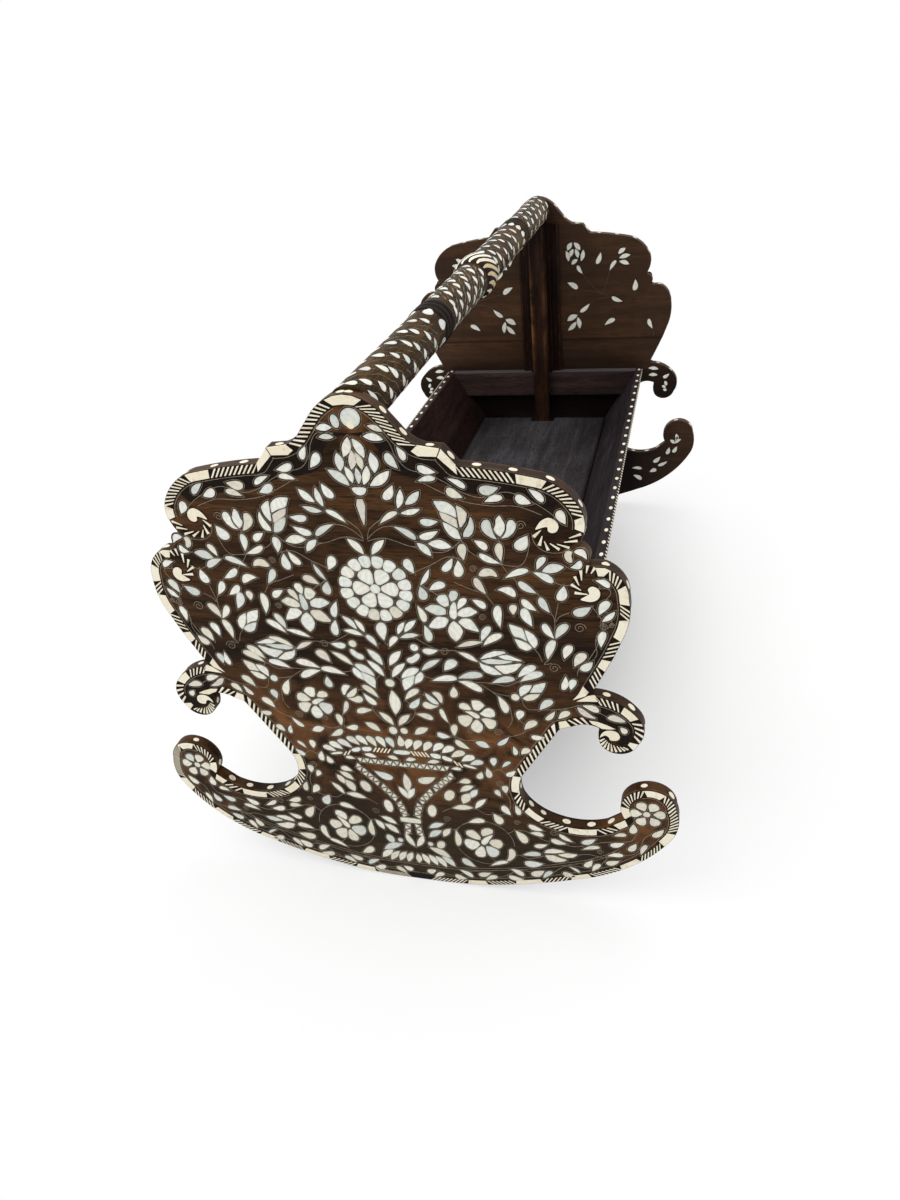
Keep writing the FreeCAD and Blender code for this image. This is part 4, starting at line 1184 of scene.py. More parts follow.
# Discs and beans, right half, then the single ones: x, z, width, height, and a turn in degrees
OVALS = ((34, 358.5, 9, 9), (136, 304, 9, 9), (27, 123, 11, 20, -8), (51, 151.5, 12, 18, -25),
         (32, 67, 10, 14, -25), (19, 66, 7, 7))
SINGLE_OVALS = ((1, 310, 10.6, 10.6), (-4.5, 243, 10, 11), (8, 244, 9, 9))
# The pale discs of the apex: x, z, width, height, turn, tint
APEX_OVALS = ((4.5, 606.5, 19, 18.6, 0, 0.17), (-11, 603.5, 8, 13, 12, 0.03))
BONE_SPOT = (4, 600, 8, 8)
BONE_SPOT_TINT = 0.6
BONE_SPOT_LIFT = 0.01

# Pieces drawn by their outlines: leaves cut into three or five, the tulip, the bud and three large flowers
LEAF_CUT = 0.14
LEAF_GROWTH = 0.2
OUTLINES = (
    ((134.7, 394.6), (141.4, 392.9), (147.9, 390.3), (149.6, 385.7), (151.9, 375.3), (146.4, 379),
     (139.3, 380.4), (136.9, 385)),
    ((150, 389.6), (157.9, 385), (162.1, 378.6), (161.9, 372.1), (158.9, 367.9), (155.7, 371.7),
     (153.1, 376.4), (151.1, 382.9)),
    ((139.6, 378.1), (145.7, 376.4), (152.1, 373.6), (157.1, 368.6), (154.3, 365.7), (150.7, 364.3),
     (144.3, 367.1), (141.4, 372.9)),
    ((15.5, 317.7), (15.6, 320.5), (18.2, 325.9), (23.6, 330.9), (29.5, 333), (33.6, 332.7), (36.1, 331.2),
     (33.8, 327.3), (29.5, 323.2), (23.6, 321.2), (17.7, 318.6)),
    ((30.2, 322.1), (23.6, 320), (18.2, 317.3), (15.5, 314.5), (15, 309.5), (15.9, 305), (16.5, 301.2),
     (20, 303.6), (24.5, 307.3), (27.3, 310.9), (28.6, 316.8)),
    ((37.7, 327.7), (39.8, 325), (39.5, 320.5), (37.3, 316.4), (33.2, 313.2), (28.6, 311.2), (29.5, 316.4),
     (31.1, 321.4), (34.1, 325.5)),
    ((140.7, 314.1), (142.3, 317.7), (147.3, 320.9), (154.5, 321.5), (153.2, 317.7), (150.9, 313.2),
     (146.8, 309.5), (141.8, 305.5), (140.9, 309.5)),
    ((156.1, 321.8), (161.8, 324.1), (168, 326.1), (167.3, 321.4), (165, 316.4), (163.2, 313.2),
     (157.3, 312.5), (151.4, 311.8), (153.8, 316.8)),
    ((144.1, 303), (147.3, 306.6), (151.8, 309.4), (157.3, 310.6), (162.7, 311.2), (160, 306.4),
     (155.5, 302.3), (148.6, 300.6)),
    ((38.6, 299.4), (42.3, 297.7), (47.3, 293.6), (50.9, 289.5), (52.7, 285.9), (49.1, 285.2), (44.5, 287),
     (40.5, 291.4), (39.1, 295.9)),
    ((46.2, 300.6), (48.2, 302.5), (51.4, 302.7), (54.5, 301.4), (56.8, 297.7), (57.1, 292.3),
     (55.9, 287.7), (53.5, 289.5), (51.8, 293.2), (49.1, 297.3)),
    ((33.8, 284.5), (35.9, 287.7), (39.1, 288.5), (42.7, 285.9), (47.3, 284.3), (51.8, 284.1),
     (48.2, 281.4), (42.7, 278.8), (37.3, 279.1), (34.5, 281.8)),
    ((115.9, 72.8), (118.9, 75.6), (122.8, 72.8), (123.9, 67.2), (121.7, 60.6), (116.7, 54.4),
     (112.2, 53.3), (114.4, 58.3), (115.6, 65)),
    ((89.2, 294.4), (93.3, 295.6), (98.3, 295), (101.1, 291.9), (103, 288.9), (99.4, 285), (96.1, 281.7),
     (91.1, 282.2), (89.4, 287.2)),
    ((107.2, 286.7), (111.1, 285), (113.1, 281.1), (112.8, 276.1), (108.3, 273.9), (101.7, 274.4),
     (96.1, 277.8), (99.4, 281.1), (102.8, 285)),
    ((97.2, 270.6), (101.1, 272.6), (107.2, 272.2), (113.3, 270), (113.3, 263.9), (109.4, 258.9),
     (105.6, 257.8), (102.2, 261.7), (100, 266.7)),
    ((93.1, 269.1), (95.6, 267.2), (98.9, 262.2), (98.9, 256.7), (96.1, 252.2), (92.8, 250.8),
     (88.3, 252.8), (85.2, 257.2), (86.7, 262.2), (90.6, 267.8)),
    ((72.2, 271.7), (76.7, 273.7), (83.9, 274.4), (88.1, 271.7), (86.7, 266.1), (83.3, 260.6), (79.4, 258),
     (75, 260.6), (72, 265.6)),
    ((74.7, 285.6), (75.6, 289.4), (80, 291.3), (85, 289.4), (88, 283.9), (87.2, 281.9), (80.6, 281.9),
     (76.1, 283.3)),
    ((80, 279.4), (87.2, 280), (92.8, 277.8), (96.3, 274.4), (95.9, 271.7), (92.2, 270.8), (88.3, 273.3),
     (84.4, 276.7)),
    ((65.6, 95.6), (68.9, 98.6), (74.4, 99.4), (78.3, 96.1), (82.8, 89.4), (82.2, 84.4), (76.1, 84.4),
     (68.9, 87.8), (65.6, 91.1)),
    ((83.6, 95.6), (84.8, 100.6), (89.4, 104.4), (95, 105), (98.3, 102.8), (98.1, 97.8), (92.8, 93.9),
     (85, 90.3)),
    ((97.8, 95), (93.9, 93.9), (86.7, 88.3), (82.8, 82.8), (82.8, 77.8), (86.1, 76.4), (90, 80),
     (92.8, 86.1)),
    ((92.2, 81.1), (95, 86.1), (101.1, 88.3), (106.7, 87.2), (109.1, 82.2), (107.2, 76.1), (103.3, 72.8),
     (96.1, 76.1)),
    ((88.3, 75), (93.9, 75), (100.6, 72.2), (103.7, 68.3), (102.8, 62.8), (98.3, 57.8), (93.9, 57),
     (90, 60), (88.3, 67.2)),
    ((83.3, 74.2), (86.1, 71.7), (87.4, 65), (87.2, 58.3), (83.3, 54.8), (77.2, 55), (73.9, 59.4),
     (75, 64.4), (79.4, 70.6)),
    ((62.2, 78.9), (65, 82.8), (71.7, 82.2), (78.3, 80.6), (81.1, 76.1), (77.2, 69.4), (70.6, 65),
     (65, 68.3), (62.2, 73.9)),
    ((63.8, 419.2), (67.5, 424.2), (74.2, 425.3), (76.3, 419.2), (76.3, 412.5), (71.7, 410.8), (66.7, 414.2)),
    ((76.7, 424.2), (79.2, 430), (84.2, 430.5), (86.7, 426.7), (84.2, 420.8), (78.7, 417.5)),
    ((80.8, 418), (83.2, 415.8), (83.2, 408.3), (83, 400.8), (80, 397), (75.8, 399.2), (75.3, 405),
     (77.5, 412.5)),
    ((87.5, 420.8), (92.5, 422.8), (95, 420.8), (93.3, 415.8), (87.5, 410.8), (84.5, 408.7), (85, 415)),
    ((50.3, 408), (58.3, 413.3), (66.7, 412.5), (72.5, 408.3), (72.2, 402.5), (63.3, 400.8), (55.8, 404.2)),
    ((84.2, 405), (88.3, 409.6), (96.7, 413), (105, 407.5), (98.3, 402.5), (90, 400.3), (84.4, 401.7)),
    ((53, 386.7), (58.3, 394.2), (63.3, 398.7), (72.5, 398.3), (74.7, 395), (70, 386.7), (61.7, 384.2),
     (54.2, 384.7)),
    ((83.7, 394.2), (88.3, 398.7), (96.7, 398.7), (100.8, 392.5), (104.7, 383.7), (96.7, 385), (90, 387.5)),
    ((78.7, 395), (84.2, 390.8), (87.8, 383.3), (84.2, 375), (79.2, 370), (74.2, 375), (71.7, 382.5),
     (74.2, 390)),
    ((72, 526.8), (80.3, 527), (85.9, 525.6), (90.9, 521.4), (92.6, 517.6), (92.9, 510), (85.9, 513.7),
     (76.4, 516.8)),
    ((76.7, 515.3), (82.6, 513.7), (92.9, 508.1), (93.3, 499), (89.8, 500.9), (79.2, 507.6)),
    ((78.9, 505.3), (82.6, 504.2), (92.6, 498.1), (95, 488.1), (89.8, 488.3), (84.8, 491.4), (80.9, 497.6)),
    ((93.3, 522.6), (98.1, 520.3), (103.1, 515.3), (101.4, 507), (96.4, 499.8), (94.8, 500.9), (94.2, 512)),
    ((105.9, 511.4), (108.1, 505.9), (108.4, 499.8), (106.4, 493.7), (102.6, 490), (97.6, 489.8),
     (97.6, 493.1), (99.8, 497.6), (103.1, 502.6)),
    ((118.7, 508.4), (121.4, 509), (123.7, 508.1), (124.8, 504.8), (125.3, 499.8), (127, 493.7),
     (129.6, 489), (124.8, 490.3), (119.2, 494.2), (116.4, 498.1), (115.6, 502), (116.4, 505.3)),
    ((132.9, 513.7), (135.9, 508.1), (137.3, 503.7), (136.8, 498.7), (133.7, 493.7), (132.2, 491.8),
     (129.2, 494.2), (126.8, 498.7), (128.7, 503.7), (129.4, 509.8)),
    ((142.6, 509.2), (145.3, 509), (147.6, 505.9), (147.6, 501.4), (144.8, 495.9), (139.8, 491.4),
     (133.7, 490), (137, 494.2), (138.7, 498.7), (139.4, 504.2), (140.6, 507.6)),
    ((102, 349), (108, 356), (118, 361), (127, 361.5), (130, 359.5), (118, 354.5)),
    ((121, 355), (131, 358), (147, 350.8), (138, 351), (128, 351.5)),
    ((102.5, 347.7), (112, 351), (124, 350.5), (137, 349.6), (125, 345.5), (110, 344.5)),
    ((116, 342.5), (130, 344.5), (146.5, 348.5), (139, 338), (127, 332.5)),
    ((102, 345.5), (106, 343), (114, 341), (125, 331.8), (115, 330.6), (107, 333.6), (103, 339)),
    ((157, 75.4), (160, 81), (168, 84.4), (178, 83.4), (182, 81.2), (170, 77)),
    ((173.5, 75.4), (185, 80), (197, 79.6), (192, 74), (185, 72.4), (178, 73.4)),
    ((158, 71.6), (168, 73.2), (174, 70.6), (184, 68), (180, 64.4), (170, 61.6), (162, 64.4)))

# The rosette in the horn: x, z, inner and outer radius, petal width, petal angles
HORN_FLOWER = (273, 156, 5.5, 19, 12, (5, 62, 118, 180, 240, 305))
HORN_CORE = (272, 156, 8, 8)
# The large rosette: its middle, then per ring the number of petals, inner and outer radius, bulge of the
# outer ends, turn in petals, and half the gap
ROSETTE = (2, 428)
ROSETTE_CORE = 11.0
ROSETTE_RINGS = ((6, 6.4, 24.6, 4.0, 0.5, 0.35), (16, 25.0, 38.6, 2.2, 0.0, 0.2))

# The basket on the neck, right half: runs of stripes by first and last x, height, slope and number, then
# bands of triangles by start, end, number and height
BASKET_STRIPES = ((12, 33, 211.3, 0.0, 5), (61, 71, 204, -0.42, 2))
BASKET_BAND = 6.6
STRIPE_NEAR, STRIPE_FAR = 1.0, 3.0
LATTICES = (((0, 193), (54, 193), 6, 9.5), ((58, 185), (33, 158), 4, 10.5), ((31, 156), (14, 135), 3, 10.5),
            ((13, 132), (7, 109), 3, 10.0), ((6, 97), (8, 78), 2, 9.5))
LATTICE_TINTS = (0.74, 0.95)
BASKET_LEAVES = ((4, 200, 17, 203, 6), (30, 200, 45, 203, 6), (0.5, 139, 10, 157, 8))

# Wire stems of the outer face, right half
WIRES = (
    ((162, 496), (163.6, 487.5), (169, 480.5), (176, 477.2), (184, 476.6), (191, 478.4), (196, 480.6)),
    ((2, 484), (5, 494), (12, 501), (20, 507)), ((2, 484), (10, 492), (20, 498), (30, 499)),
    ((2, 482), (20, 486), (46, 478), (64, 482)), ((46, 478), (62, 473), (80, 474), (95, 487)),
    ((60, 547), (80, 536), (100, 527), (125, 523), (150, 523), (172, 515)),
    ((14, 592), (30, 592), (38, 582), (42, 570), (52, 558), (70, 553), (86, 545), (100, 536), (118, 531),
     (140, 537), (158, 531), (176, 520), (189, 508)),
    ((95, 487), (103, 474), (118, 466), (131, 462), (140, 452), (160, 456)),
    ((131, 490), (132, 478), (131, 462)), ((131, 462), (150, 462), (158, 478), (158, 494)),
    ((160, 456), (176, 448), (190, 442), (200, 446)), ((40, 447), (50, 452), (62, 458), (80, 468), (95, 465)),
    ((49, 436), (58, 430), (66, 424)), ((84, 440), (100, 433), (113, 428), (121, 417)),
    ((140, 452), (150, 438), (164, 432), (176, 412), (180, 402), (179, 384)),
    ((181, 401), (185, 407), (194, 412)), ((180, 402), (182, 412), (184, 422)),
    ((215, 421), (222, 411), (226, 400), (222, 380), (214, 362), (204, 344)),
    ((179, 384), (178, 368), (173, 356), (168, 349), (176, 351)), ((158, 368), (163, 361), (166, 352)),
    ((100, 318), (112, 309), (119, 302), (126, 296), (130, 287), (131, 272), (126, 262)),
    ((2, 362), (10, 360), (22, 372), (34, 372), (44, 366), (60, 358), (80, 358), (102, 346)),
    ((2, 330), (12, 316), (28, 300), (38, 296), (52, 284)), ((20, 304), (34, 322), (52, 320), (77, 322)),
    ((77, 322), (96, 320), (112, 320), (128, 318), (142, 326)), ((112, 309), (122, 306), (130, 305)),
    ((142, 326), (146, 310), (143, 301), (148, 290), (160, 290), (178, 292), (192, 296), (206, 300),
     (230, 288)),
    ((138, 274), (146, 266), (144, 258), (134, 252), (126, 249)),
    ((15, 288), (22, 280), (24, 270), (14, 256), (2, 250)),
    ((54, 280), (60, 264), (64, 250), (60, 242), (44, 240)), ((66, 243), (78, 238), (92, 240), (106, 232)),
    ((98, 202), (104, 196), (112, 200), (120, 194)),
    ((110, 170), (118, 164), (122, 150), (118, 134), (104, 128)),
    ((40, 124), (52, 132), (66, 140), (80, 136), (92, 128), (104, 130)),
    ((70, 111), (60, 104), (53, 96), (46, 98)),
    ((92, 56), (104, 48), (116, 56), (126, 66), (140, 62), (158, 70)),
    ((116, 100), (128, 108), (142, 106), (160, 96), (178, 94)),
    ((178, 94), (192, 92), (206, 96), (224, 104), (240, 108), (256, 112), (262, 124)),
    ((197, 79), (210, 82), (228, 80), (246, 90)))
SPIRALS = (
    (204, 395, 6), (178, 345, 6), (115, 254, 5), (109, 401, 4), (66, 356, 5), (152, 504, 5), (104, 456, 4),
    (226, 398, 4), (44, 112, 5), (128, 120, 4), (170, 110, 5), (222, 88, 4), (84, 252, 4), (150, 228, 5),
    (112, 178, 5), (62, 196, 3), (234, 400, 3))
SPIRAL_TURNS = 1.6
SPIRAL_STEPS = 14
SPIRAL_CLOSE = 0.8
# A ring of wire: x, z and radius
RING_WIRE = (87, 80, 36.0)
RING_STEPS = 20
# Wires along the border, vines by start, end, depth, swing and wave length, and wires along the sole
EDGE_WIRES = (
    ((14, 625), (172, 551)), ((172, 551), (206, 500)), ((222, 464), (214, 316)), ((216, 314), (262, 270)),
    ((193, 270), (139, 195)), ((138, 190), (150, 140)), ((160, 131), (246, 142)), ((262, 190), (303, 165)),
    ((303, 165), (0, 0)))
VINES = (((222, 464), (216, 330), 20, 4, 46), ((300, 120), (24, 0.2), 19, 5, 62))
SOLE_WIRES = (((262, 76), (0, 0), 25.5), ((262, 76), (0, 0), 29))
VINE_STEP = 6
EDGE_STEPS = 2
VINE_STEPS = 3
# A triangle of the lattice, as shares of its cell: half the base, the base's level and the tip's level
TRIANGLE = (0.34, 0.36, 0.3)


def petals(x, z, inner, outer, width, angles):
    """Straight drops round a point, their tips towards it."""
    shapes = []
    for angle in angles:
        c, s = math.cos(math.radians(angle)), math.sin(math.radians(angle))
        shapes.append(drop(x + inner * c, z + inner * s, x + outer * c, z + outer * s, width, 0.0))
    return shapes


def lattice(start, end, cells, height):
    """A band of small triangles, alternately up and down."""
    (ax, az), (bx, bz) = start, end
    length = math.dist(start, end)
    ux, uz = (bx - ax) / length, (bz - az) / length
    step = length / cells
    half, base, tip = TRIANGLE
    pieces = []
    for index in range(cells):
        for flip, shift in ((1, 0.25), (-1, 0.75)):
            middle = step * (index + shift)
            floor = -flip * height * base
            corners = ((middle - step * half, floor), (middle + step * half, floor),
                       (middle, flip * height * tip))
            pieces.append([(ax + ux * a - uz * b, az + uz * a + ux * b) for a, b in corners])
    return pieces


def spiral(x, z, radius):
    points = []
    for step in range(SPIRAL_STEPS + 1):
        share = step / SPIRAL_STEPS
        angle = share * SPIRAL_TURNS * math.tau
        reach = radius * (1 - SPIRAL_CLOSE * share)
        points.append((x + reach * math.cos(angle), z + reach * math.sin(angle)))
    return wire(points)


def right_half_pearl():
    """Every mirrored pearl piece of the outer face."""
    shapes = [drop(*row) for row in DROPS]
    shapes += [leaf(*row) for row in LEAVES + BASKET_LEAVES]
    shapes += [oval(*row) for row in OVALS]
    shapes += [grown(cut_corners(list(points), LEAF_CUT), LEAF_GROWTH) for points in OUTLINES]
    shapes += petals(*HORN_FLOWER)
    shapes.append(oval(*HORN_CORE))
    return shapes


def single_pearl():
    """The pearl pieces of the outer face's middle, which have no twin."""
    shapes = [drop(*row) for row in SINGLE_DROPS]
    shapes += [leaf(*row) for row in SINGLE_LEAVES]
    shapes += [oval(*row) for row in SINGLE_OVALS]
    shapes.append(oval(*ROSETTE, ROSETTE_CORE, ROSETTE_CORE))
    for count, inner, outer, bulge, offset, half_gap in ROSETTE_RINGS:
        for index in range(count):
            pitch = math.tau / count
            gap = half_gap / inner
            first = (index + offset) * pitch + gap
            shapes.append(ring_block(*ROSETTE, inner, outer, first, first + pitch - 2 * gap, bulge))
    return shapes


def right_half_bone(first_lean):
    shapes = border_pieces(first_lean)
    shapes += [("plate", rounded(row)) for row in SCROLLS]
    for outer_x, outer_z, inner_x, inner_z, width in SCROLL_RAYS:
        spine = [(inner_x, inner_z), (outer_x, outer_z)]
        shapes.append(("stripe", stroke(spine, lambda share: RAY_TIP + (width - RAY_TIP) * share)))
    shapes.append(("plate", list(ARM_PLATE)))
    for first, last, height, slope, count in BASKET_STRIPES:
        for index in range(count):
            x = first + (last - first) * (index + 0.5) / count
            middle = height + slope * (x - first)
            half = BASKET_BAND / 2
            lower = [(x + STRIPE_NEAR, middle - half), (x + STRIPE_FAR, middle - half)]
            upper = [(x - STRIPE_NEAR, middle + half), (x - STRIPE_FAR, middle + half)]
            shapes.append(("stripe", lower + upper))
    return shapes


def right_half_wire():
    shapes = [wire(points) for points in WIRES]
    shapes += [spiral(*row) for row in SPIRALS]
    x, z, radius = RING_WIRE
    angles = [step * math.tau / RING_STEPS for step in range(RING_STEPS)]
    shapes.append(wire([(x + radius * math.cos(angle), z + radius * math.sin(angle)) for angle in angles]))
    shapes += [wire(edge.line(*row, BORDER_WIRE), EDGE_STEPS) for row in EDGE_WIRES]
    for start, end, depth, swing, wave in VINES:
        first, last = edge.near(*start), edge.near(*end)
        count = int((last - first) / VINE_STEP)
        line = []
        for index in range(count + 1):
            s = first + (last - first) * index / count
            line.append(edge.inner(s, depth + swing * math.sin(math.tau * (s - first) / wave)))
        shapes.append(wire(line, VINE_STEPS))
    shapes += [wire(edge.line(*row), EDGE_STEPS) for row in SOLE_WIRES]
    return shapes


# Tints of the pearl, each between two values, and how many of the pieces are grey, or grey or beige
GREY_TINTS, GREY_PART = (0.0, 0.2), 0.15
BEIGE_TINTS, DULL_PART = (0.66, 0.93), 0.3
WHITE_TINTS = (0.24, 0.64)
CREAM_TINTS, CREAM_BELOW = (0.62, 0.86), 310.0
# Within this corner of the face, x from and z below, the pieces are duller
DULL_CORNER = (248.0, 200.0)
DULL_TINTS = (0.74, 0.92)
HIGH_UP = 600.0
BONE_TINTS = {"plate": (0.45, 0.9), "stripe": (0.25, 0.95)}


def pearl_tint(x=0.0, height=HIGH_UP):
    """Mostly white, some grey or beige; low down most are cream."""
    if x > DULL_CORNER[0] and height < DULL_CORNER[1]:
        return chance.uniform(*DULL_TINTS)
    pick = chance.random()
    if pick < GREY_PART:
        return chance.uniform(*GREY_TINTS)
    if pick < DULL_PART:
        return chance.uniform(*BEIGE_TINTS)
    return chance.uniform(*(CREAM_TINTS if height < CREAM_BELOW else WHITE_TINTS))


def bone_tint(kind):
    return chance.uniform(*BONE_TINTS[kind])


JITTER = 0.35


def jittered(shape):
    dx, dz = chance.uniform(-JITTER, JITTER), chance.uniform(-JITTER, JITTER)
    return [(x + dx, z + dz) for x, z in shape]


# Where the ground beside the border is black with mastic: start and end on the edge, and how far in
DARK_GROUNDS = (((112, 560), (196, 536), 10.0, 26.0), ((240, 373), (222, 334), 10.0, 20.0))
DARK_PATCHES = (
    ((0, 591.5), (14, 593), (30, 592), (39, 585), (45, 583), (57, 574), (63, 569.5), (80, 569), (97, 552),
     (114, 549), (112, 534), (100, 537), (88, 543), (70, 548), (54, 550), (42, 553), (33, 558), (29, 566),
     (27, 575), (22, 583), (12, 588.5)),
    ((204, 303.5), (222, 304), (238, 299), (249, 290), (254, 278), (255, 266), (251, 256), (245, 250),
     (239, 253.5), (243.5, 258), (245, 264), (242.5, 270), (237, 274.5), (228, 279.5), (218, 283),
     (206, 285)))
# Between these marks the edge has no dark ground
GROUND_BARE = ((206, 496), (214, 464))
GROUND_LENGTH = 10.0
GROUND_LAP = 0.4
# How far in the ground of the border itself lies, and how far it passes the border
GROUND_OUT = 0.55
GROUND_PAST = 0.9


def lay_bed(beds, shape, place, chamfer=PLATE_CHAMFER):
    beds.plate(shape, place, MASTIC_TOP - chance.uniform(0, BED_SPREAD), 0.0, chamfer=chamfer)


def dark_band(beds, place, first, last, near, far):
    """Dark ground along the edge, laid in short lengths."""
    bare_from, bare_to = [edge.near(*mark) for mark in GROUND_BARE]
    mark = first
    while mark < last - 1:
        end = min(mark + GROUND_LENGTH, last)
        if not (bare_from < end and mark < bare_to):
            depth = min(far, border_depth(mark) + far - BORDER_IN)
            for shape in both_sides([band(mark, end + GROUND_LAP, near, depth)]):
                lay_bed(beds, shape, place, BED_CHAMFER)
        mark = end


def outer_pearl():
    """All pearl of an outer face, with the tints of the pieces that have their own."""
    pieces = [(shape, None) for shape in both_sides(right_half_pearl()) + single_pearl()]
    pieces += [(leaf(*row), tint) for *row, tint in LOTUS]
    pieces += [(oval(*row), tint) for *row, tint in APEX_OVALS]
    pieces += [(cut_corners(list(points)), tint) for points, tint in DRAWN]
    for row in LATTICES:
        pieces += [(shape, chance.uniform(*LATTICE_TINTS)) for shape in both_sides(lattice(*row))]
    for points, tint in DRAWN_TWICE:
        pieces += [(shape, tint) for shape in both_sides([cut_corners(list(points))])]
    return pieces


def lay_face(name, place):
    """Sets the whole inlay of an outer face on one end."""
    pearls, bones, beds, wires = Batch(), Batch(), Batch(), Batch()
    for shape, tint in outer_pearl():
        shape = jittered(shape)
        halo = grown(shape, HALO)
        if tint is None:
            tint = pearl_tint(*middle_of(shape))
        pearls.plate(shape, place, PLATE_TOP, tint, crowned=True)
        lay_bed(beds, halo, place)
        wires.hoop(halo, place, WIRE_TOP, OUTLINE_WIDTH, PLATE_DEPTH)
    right_lean, left_lean = FIRST_LEANS
    rows = right_half_bone(right_lean)
    rows += [(kind, mirrored(shape)) for kind, shape in right_half_bone(left_lean)]
    for kind, shape in rows:
        bones.plate(shape, place, PLATE_TOP, bone_tint(kind))
    bones.plate(oval(*BONE_SPOT), place, PLATE_TOP + BONE_SPOT_LIFT, BONE_SPOT_TINT)
    for shape in both_sides([rounded(row) for row in SCROLLS]):
        lay_bed(beds, grown(shape, HALO), place)
    for first, last in RAY_GROUPS:
        rays = SCROLL_RAYS[first:last]
        ground = [row[:2] for row in rays] + [row[2:4] for row in rays[::-1]]
        for shape in both_sides([ground]):
            lay_bed(beds, shape, place, BED_CHAMFER)
    bones.plate(list(APEX_PLATE), place, PLATE_TOP, bone_tint("plate"))
    dark_band(beds, place, 0.0, edge.length, GROUND_OUT, BORDER_IN + GROUND_PAST)
    for start, end, near, far in DARK_GROUNDS:
        dark_band(beds, place, edge.near(*start), edge.near(*end), near, far)
    for shape in both_sides([list(patch) for patch in DARK_PATCHES]):
        lay_bed(beds, shape, place, BED_CHAMFER)
    for shape in both_sides(right_half_wire()):
        wires.plate(shape, place, WIRE_TOP, WIRE_TINT, chamfer=WIRE_CHAMFER)
    finish_inlay(name, (pearls, PEARL), (bones, BONE), (beds, MASTIC), (wires, WIRE))


# Places on the faces of the ends: across, up and out of the face
def foot_outer(u, v, height):
    return (u, -OUTER_Y - height, v)


def head_outer(u, v, height):
    return (-u, OUTER_Y + height, v)


def head_inner(u, v, height):
    return (u, INNER_Y - height, v)


def foot_inner(u, v, height):
    return (-u, -INNER_Y + height, v)


# Sparse sprays on the inner faces, right half, and how much lower and further out they sit on the left
LEFT_LOWER = 5.0
LEFT_OUT = 1.0
SPRAY_FOOT = 350.0
INNER_TINTS = (0.4, 0.6)
INNER_HALO = HALO * 0.6
INNER_PEARL_TOP = PLATE_TOP + 0.3
INNER_BED_TOP = MASTIC_TOP + 0.4
INNER_WIRE_TOP = 0.12
INNER_DROPS = (
    (83, 488, 73, 504, 7), (118, 526, 110, 505, 9), (134, 492, 146, 510, 7), (53, 473, 73, 461, 10),
    (183, 474, 181, 453, 10), (159, 434, 138, 443, 8), (125, 389, 145, 401, 9), (217, 380, 209, 399, 8),
    (96, 432, 77, 416, 8), (252, 290, 240, 282, 7), (258, 134, 253, 118, 8), (273, 136, 265, 122, 8),
    (240, 113, 226, 100, 9), (255, 102, 236, 92, 7), (182, 86, 203, 85, 7), (219, 77, 233, 83, 9),
    (185, 70, 203, 60, 9))
INNER_LEAVES = (
    (55, 532, 64, 546, 9), (67, 545, 79, 531, 9), (59, 519, 66, 534, 8), (70, 534, 75, 517, 8),
    (52, 532, 57, 512, 8), (85, 532, 80, 511, 8), (62, 506, 74, 515, 8), (150, 521, 164, 531, 8),
    (152, 514, 173, 519, 8), (152, 508, 171, 502, 8), (51, 400, 72, 411, 11), (72, 407, 76, 384, 9),
    (70, 398, 53, 381, 9), (211, 302, 231, 300, 7), (211, 288, 229, 288, 7), (243, 276, 247, 266, 6),
    (238, 266, 246, 262, 6), (240, 258, 248, 256, 6), (270, 164, 272, 150, 7), (259, 151, 268, 142, 7),
    (268, 142, 281, 152, 6), (270, 148, 276, 158, 6))
INNER_WIRES = (
    ((73, 461), (96, 456), (120, 450), (134, 442)), ((96, 432), (112, 440), (138, 443)),
    ((83, 488), (96, 470), (118, 451)), ((134, 492), (128, 470), (120, 450)),
    ((217, 380), (219, 372), (219, 365)))


def lowered(shape):
    """The sprays of the left half hang a little lower."""
    drop_by = LEFT_LOWER if middle_of(shape)[1] > SPRAY_FOOT else 0.0
    return [(x - LEFT_OUT, z - drop_by) for x, z in shape]


def both_lowered(shapes):
    return shapes + [lowered(mirrored(shape)) for shape in shapes]


def lay_inner(name, place):
    pearls, beds, wires = Batch(), Batch(), Batch()
    for shape in both_lowered([drop(*row) for row in INNER_DROPS] + [leaf(*row) for row in INNER_LEAVES]):
        pearls.plate(jittered(shape), place, INNER_PEARL_TOP, chance.uniform(*INNER_TINTS), crowned=True)
        beds.plate(grown(shape, INNER_HALO), place, INNER_BED_TOP, 0.0)
    for shape in both_lowered([wire(points) for points in INNER_WIRES]):
        wires.plate(shape, place, INNER_WIRE_TOP, WIRE_TINT, chamfer=WIRE_CHAMFER)
    finish_inlay(name, (pearls, PEARL), (beds, MASTIC), (wires, DULL_WIRE))


# Bone dots along the edges of the ends, from the apex to the horn
DOT_MARKS = (
    (4, 627.5), (34, 611), (50, 591.5), (73, 579), (92, 569), (114, 560), (147, 555.5), (180, 548),
    (205, 523), (206, 497), (228, 463.6), (248, 442), (249.5, 412), (246, 386), (236, 362), (221, 332),
    (230, 317), (256, 300), (264, 272), (252, 246), (222, 258), (207, 272), (178, 262), (160, 230),
    (143, 202), (137.5, 172), (144, 145), (157, 133), (184, 125), (211, 125.5), (234, 132), (250, 158),
    (268, 191), (296, 180), (306, 150))
DOT_LONG = 9.0
DOT_WIDE = 6.6
DOT_SCALES = (0.82, 1.1)
DOT_TOP = 0.28


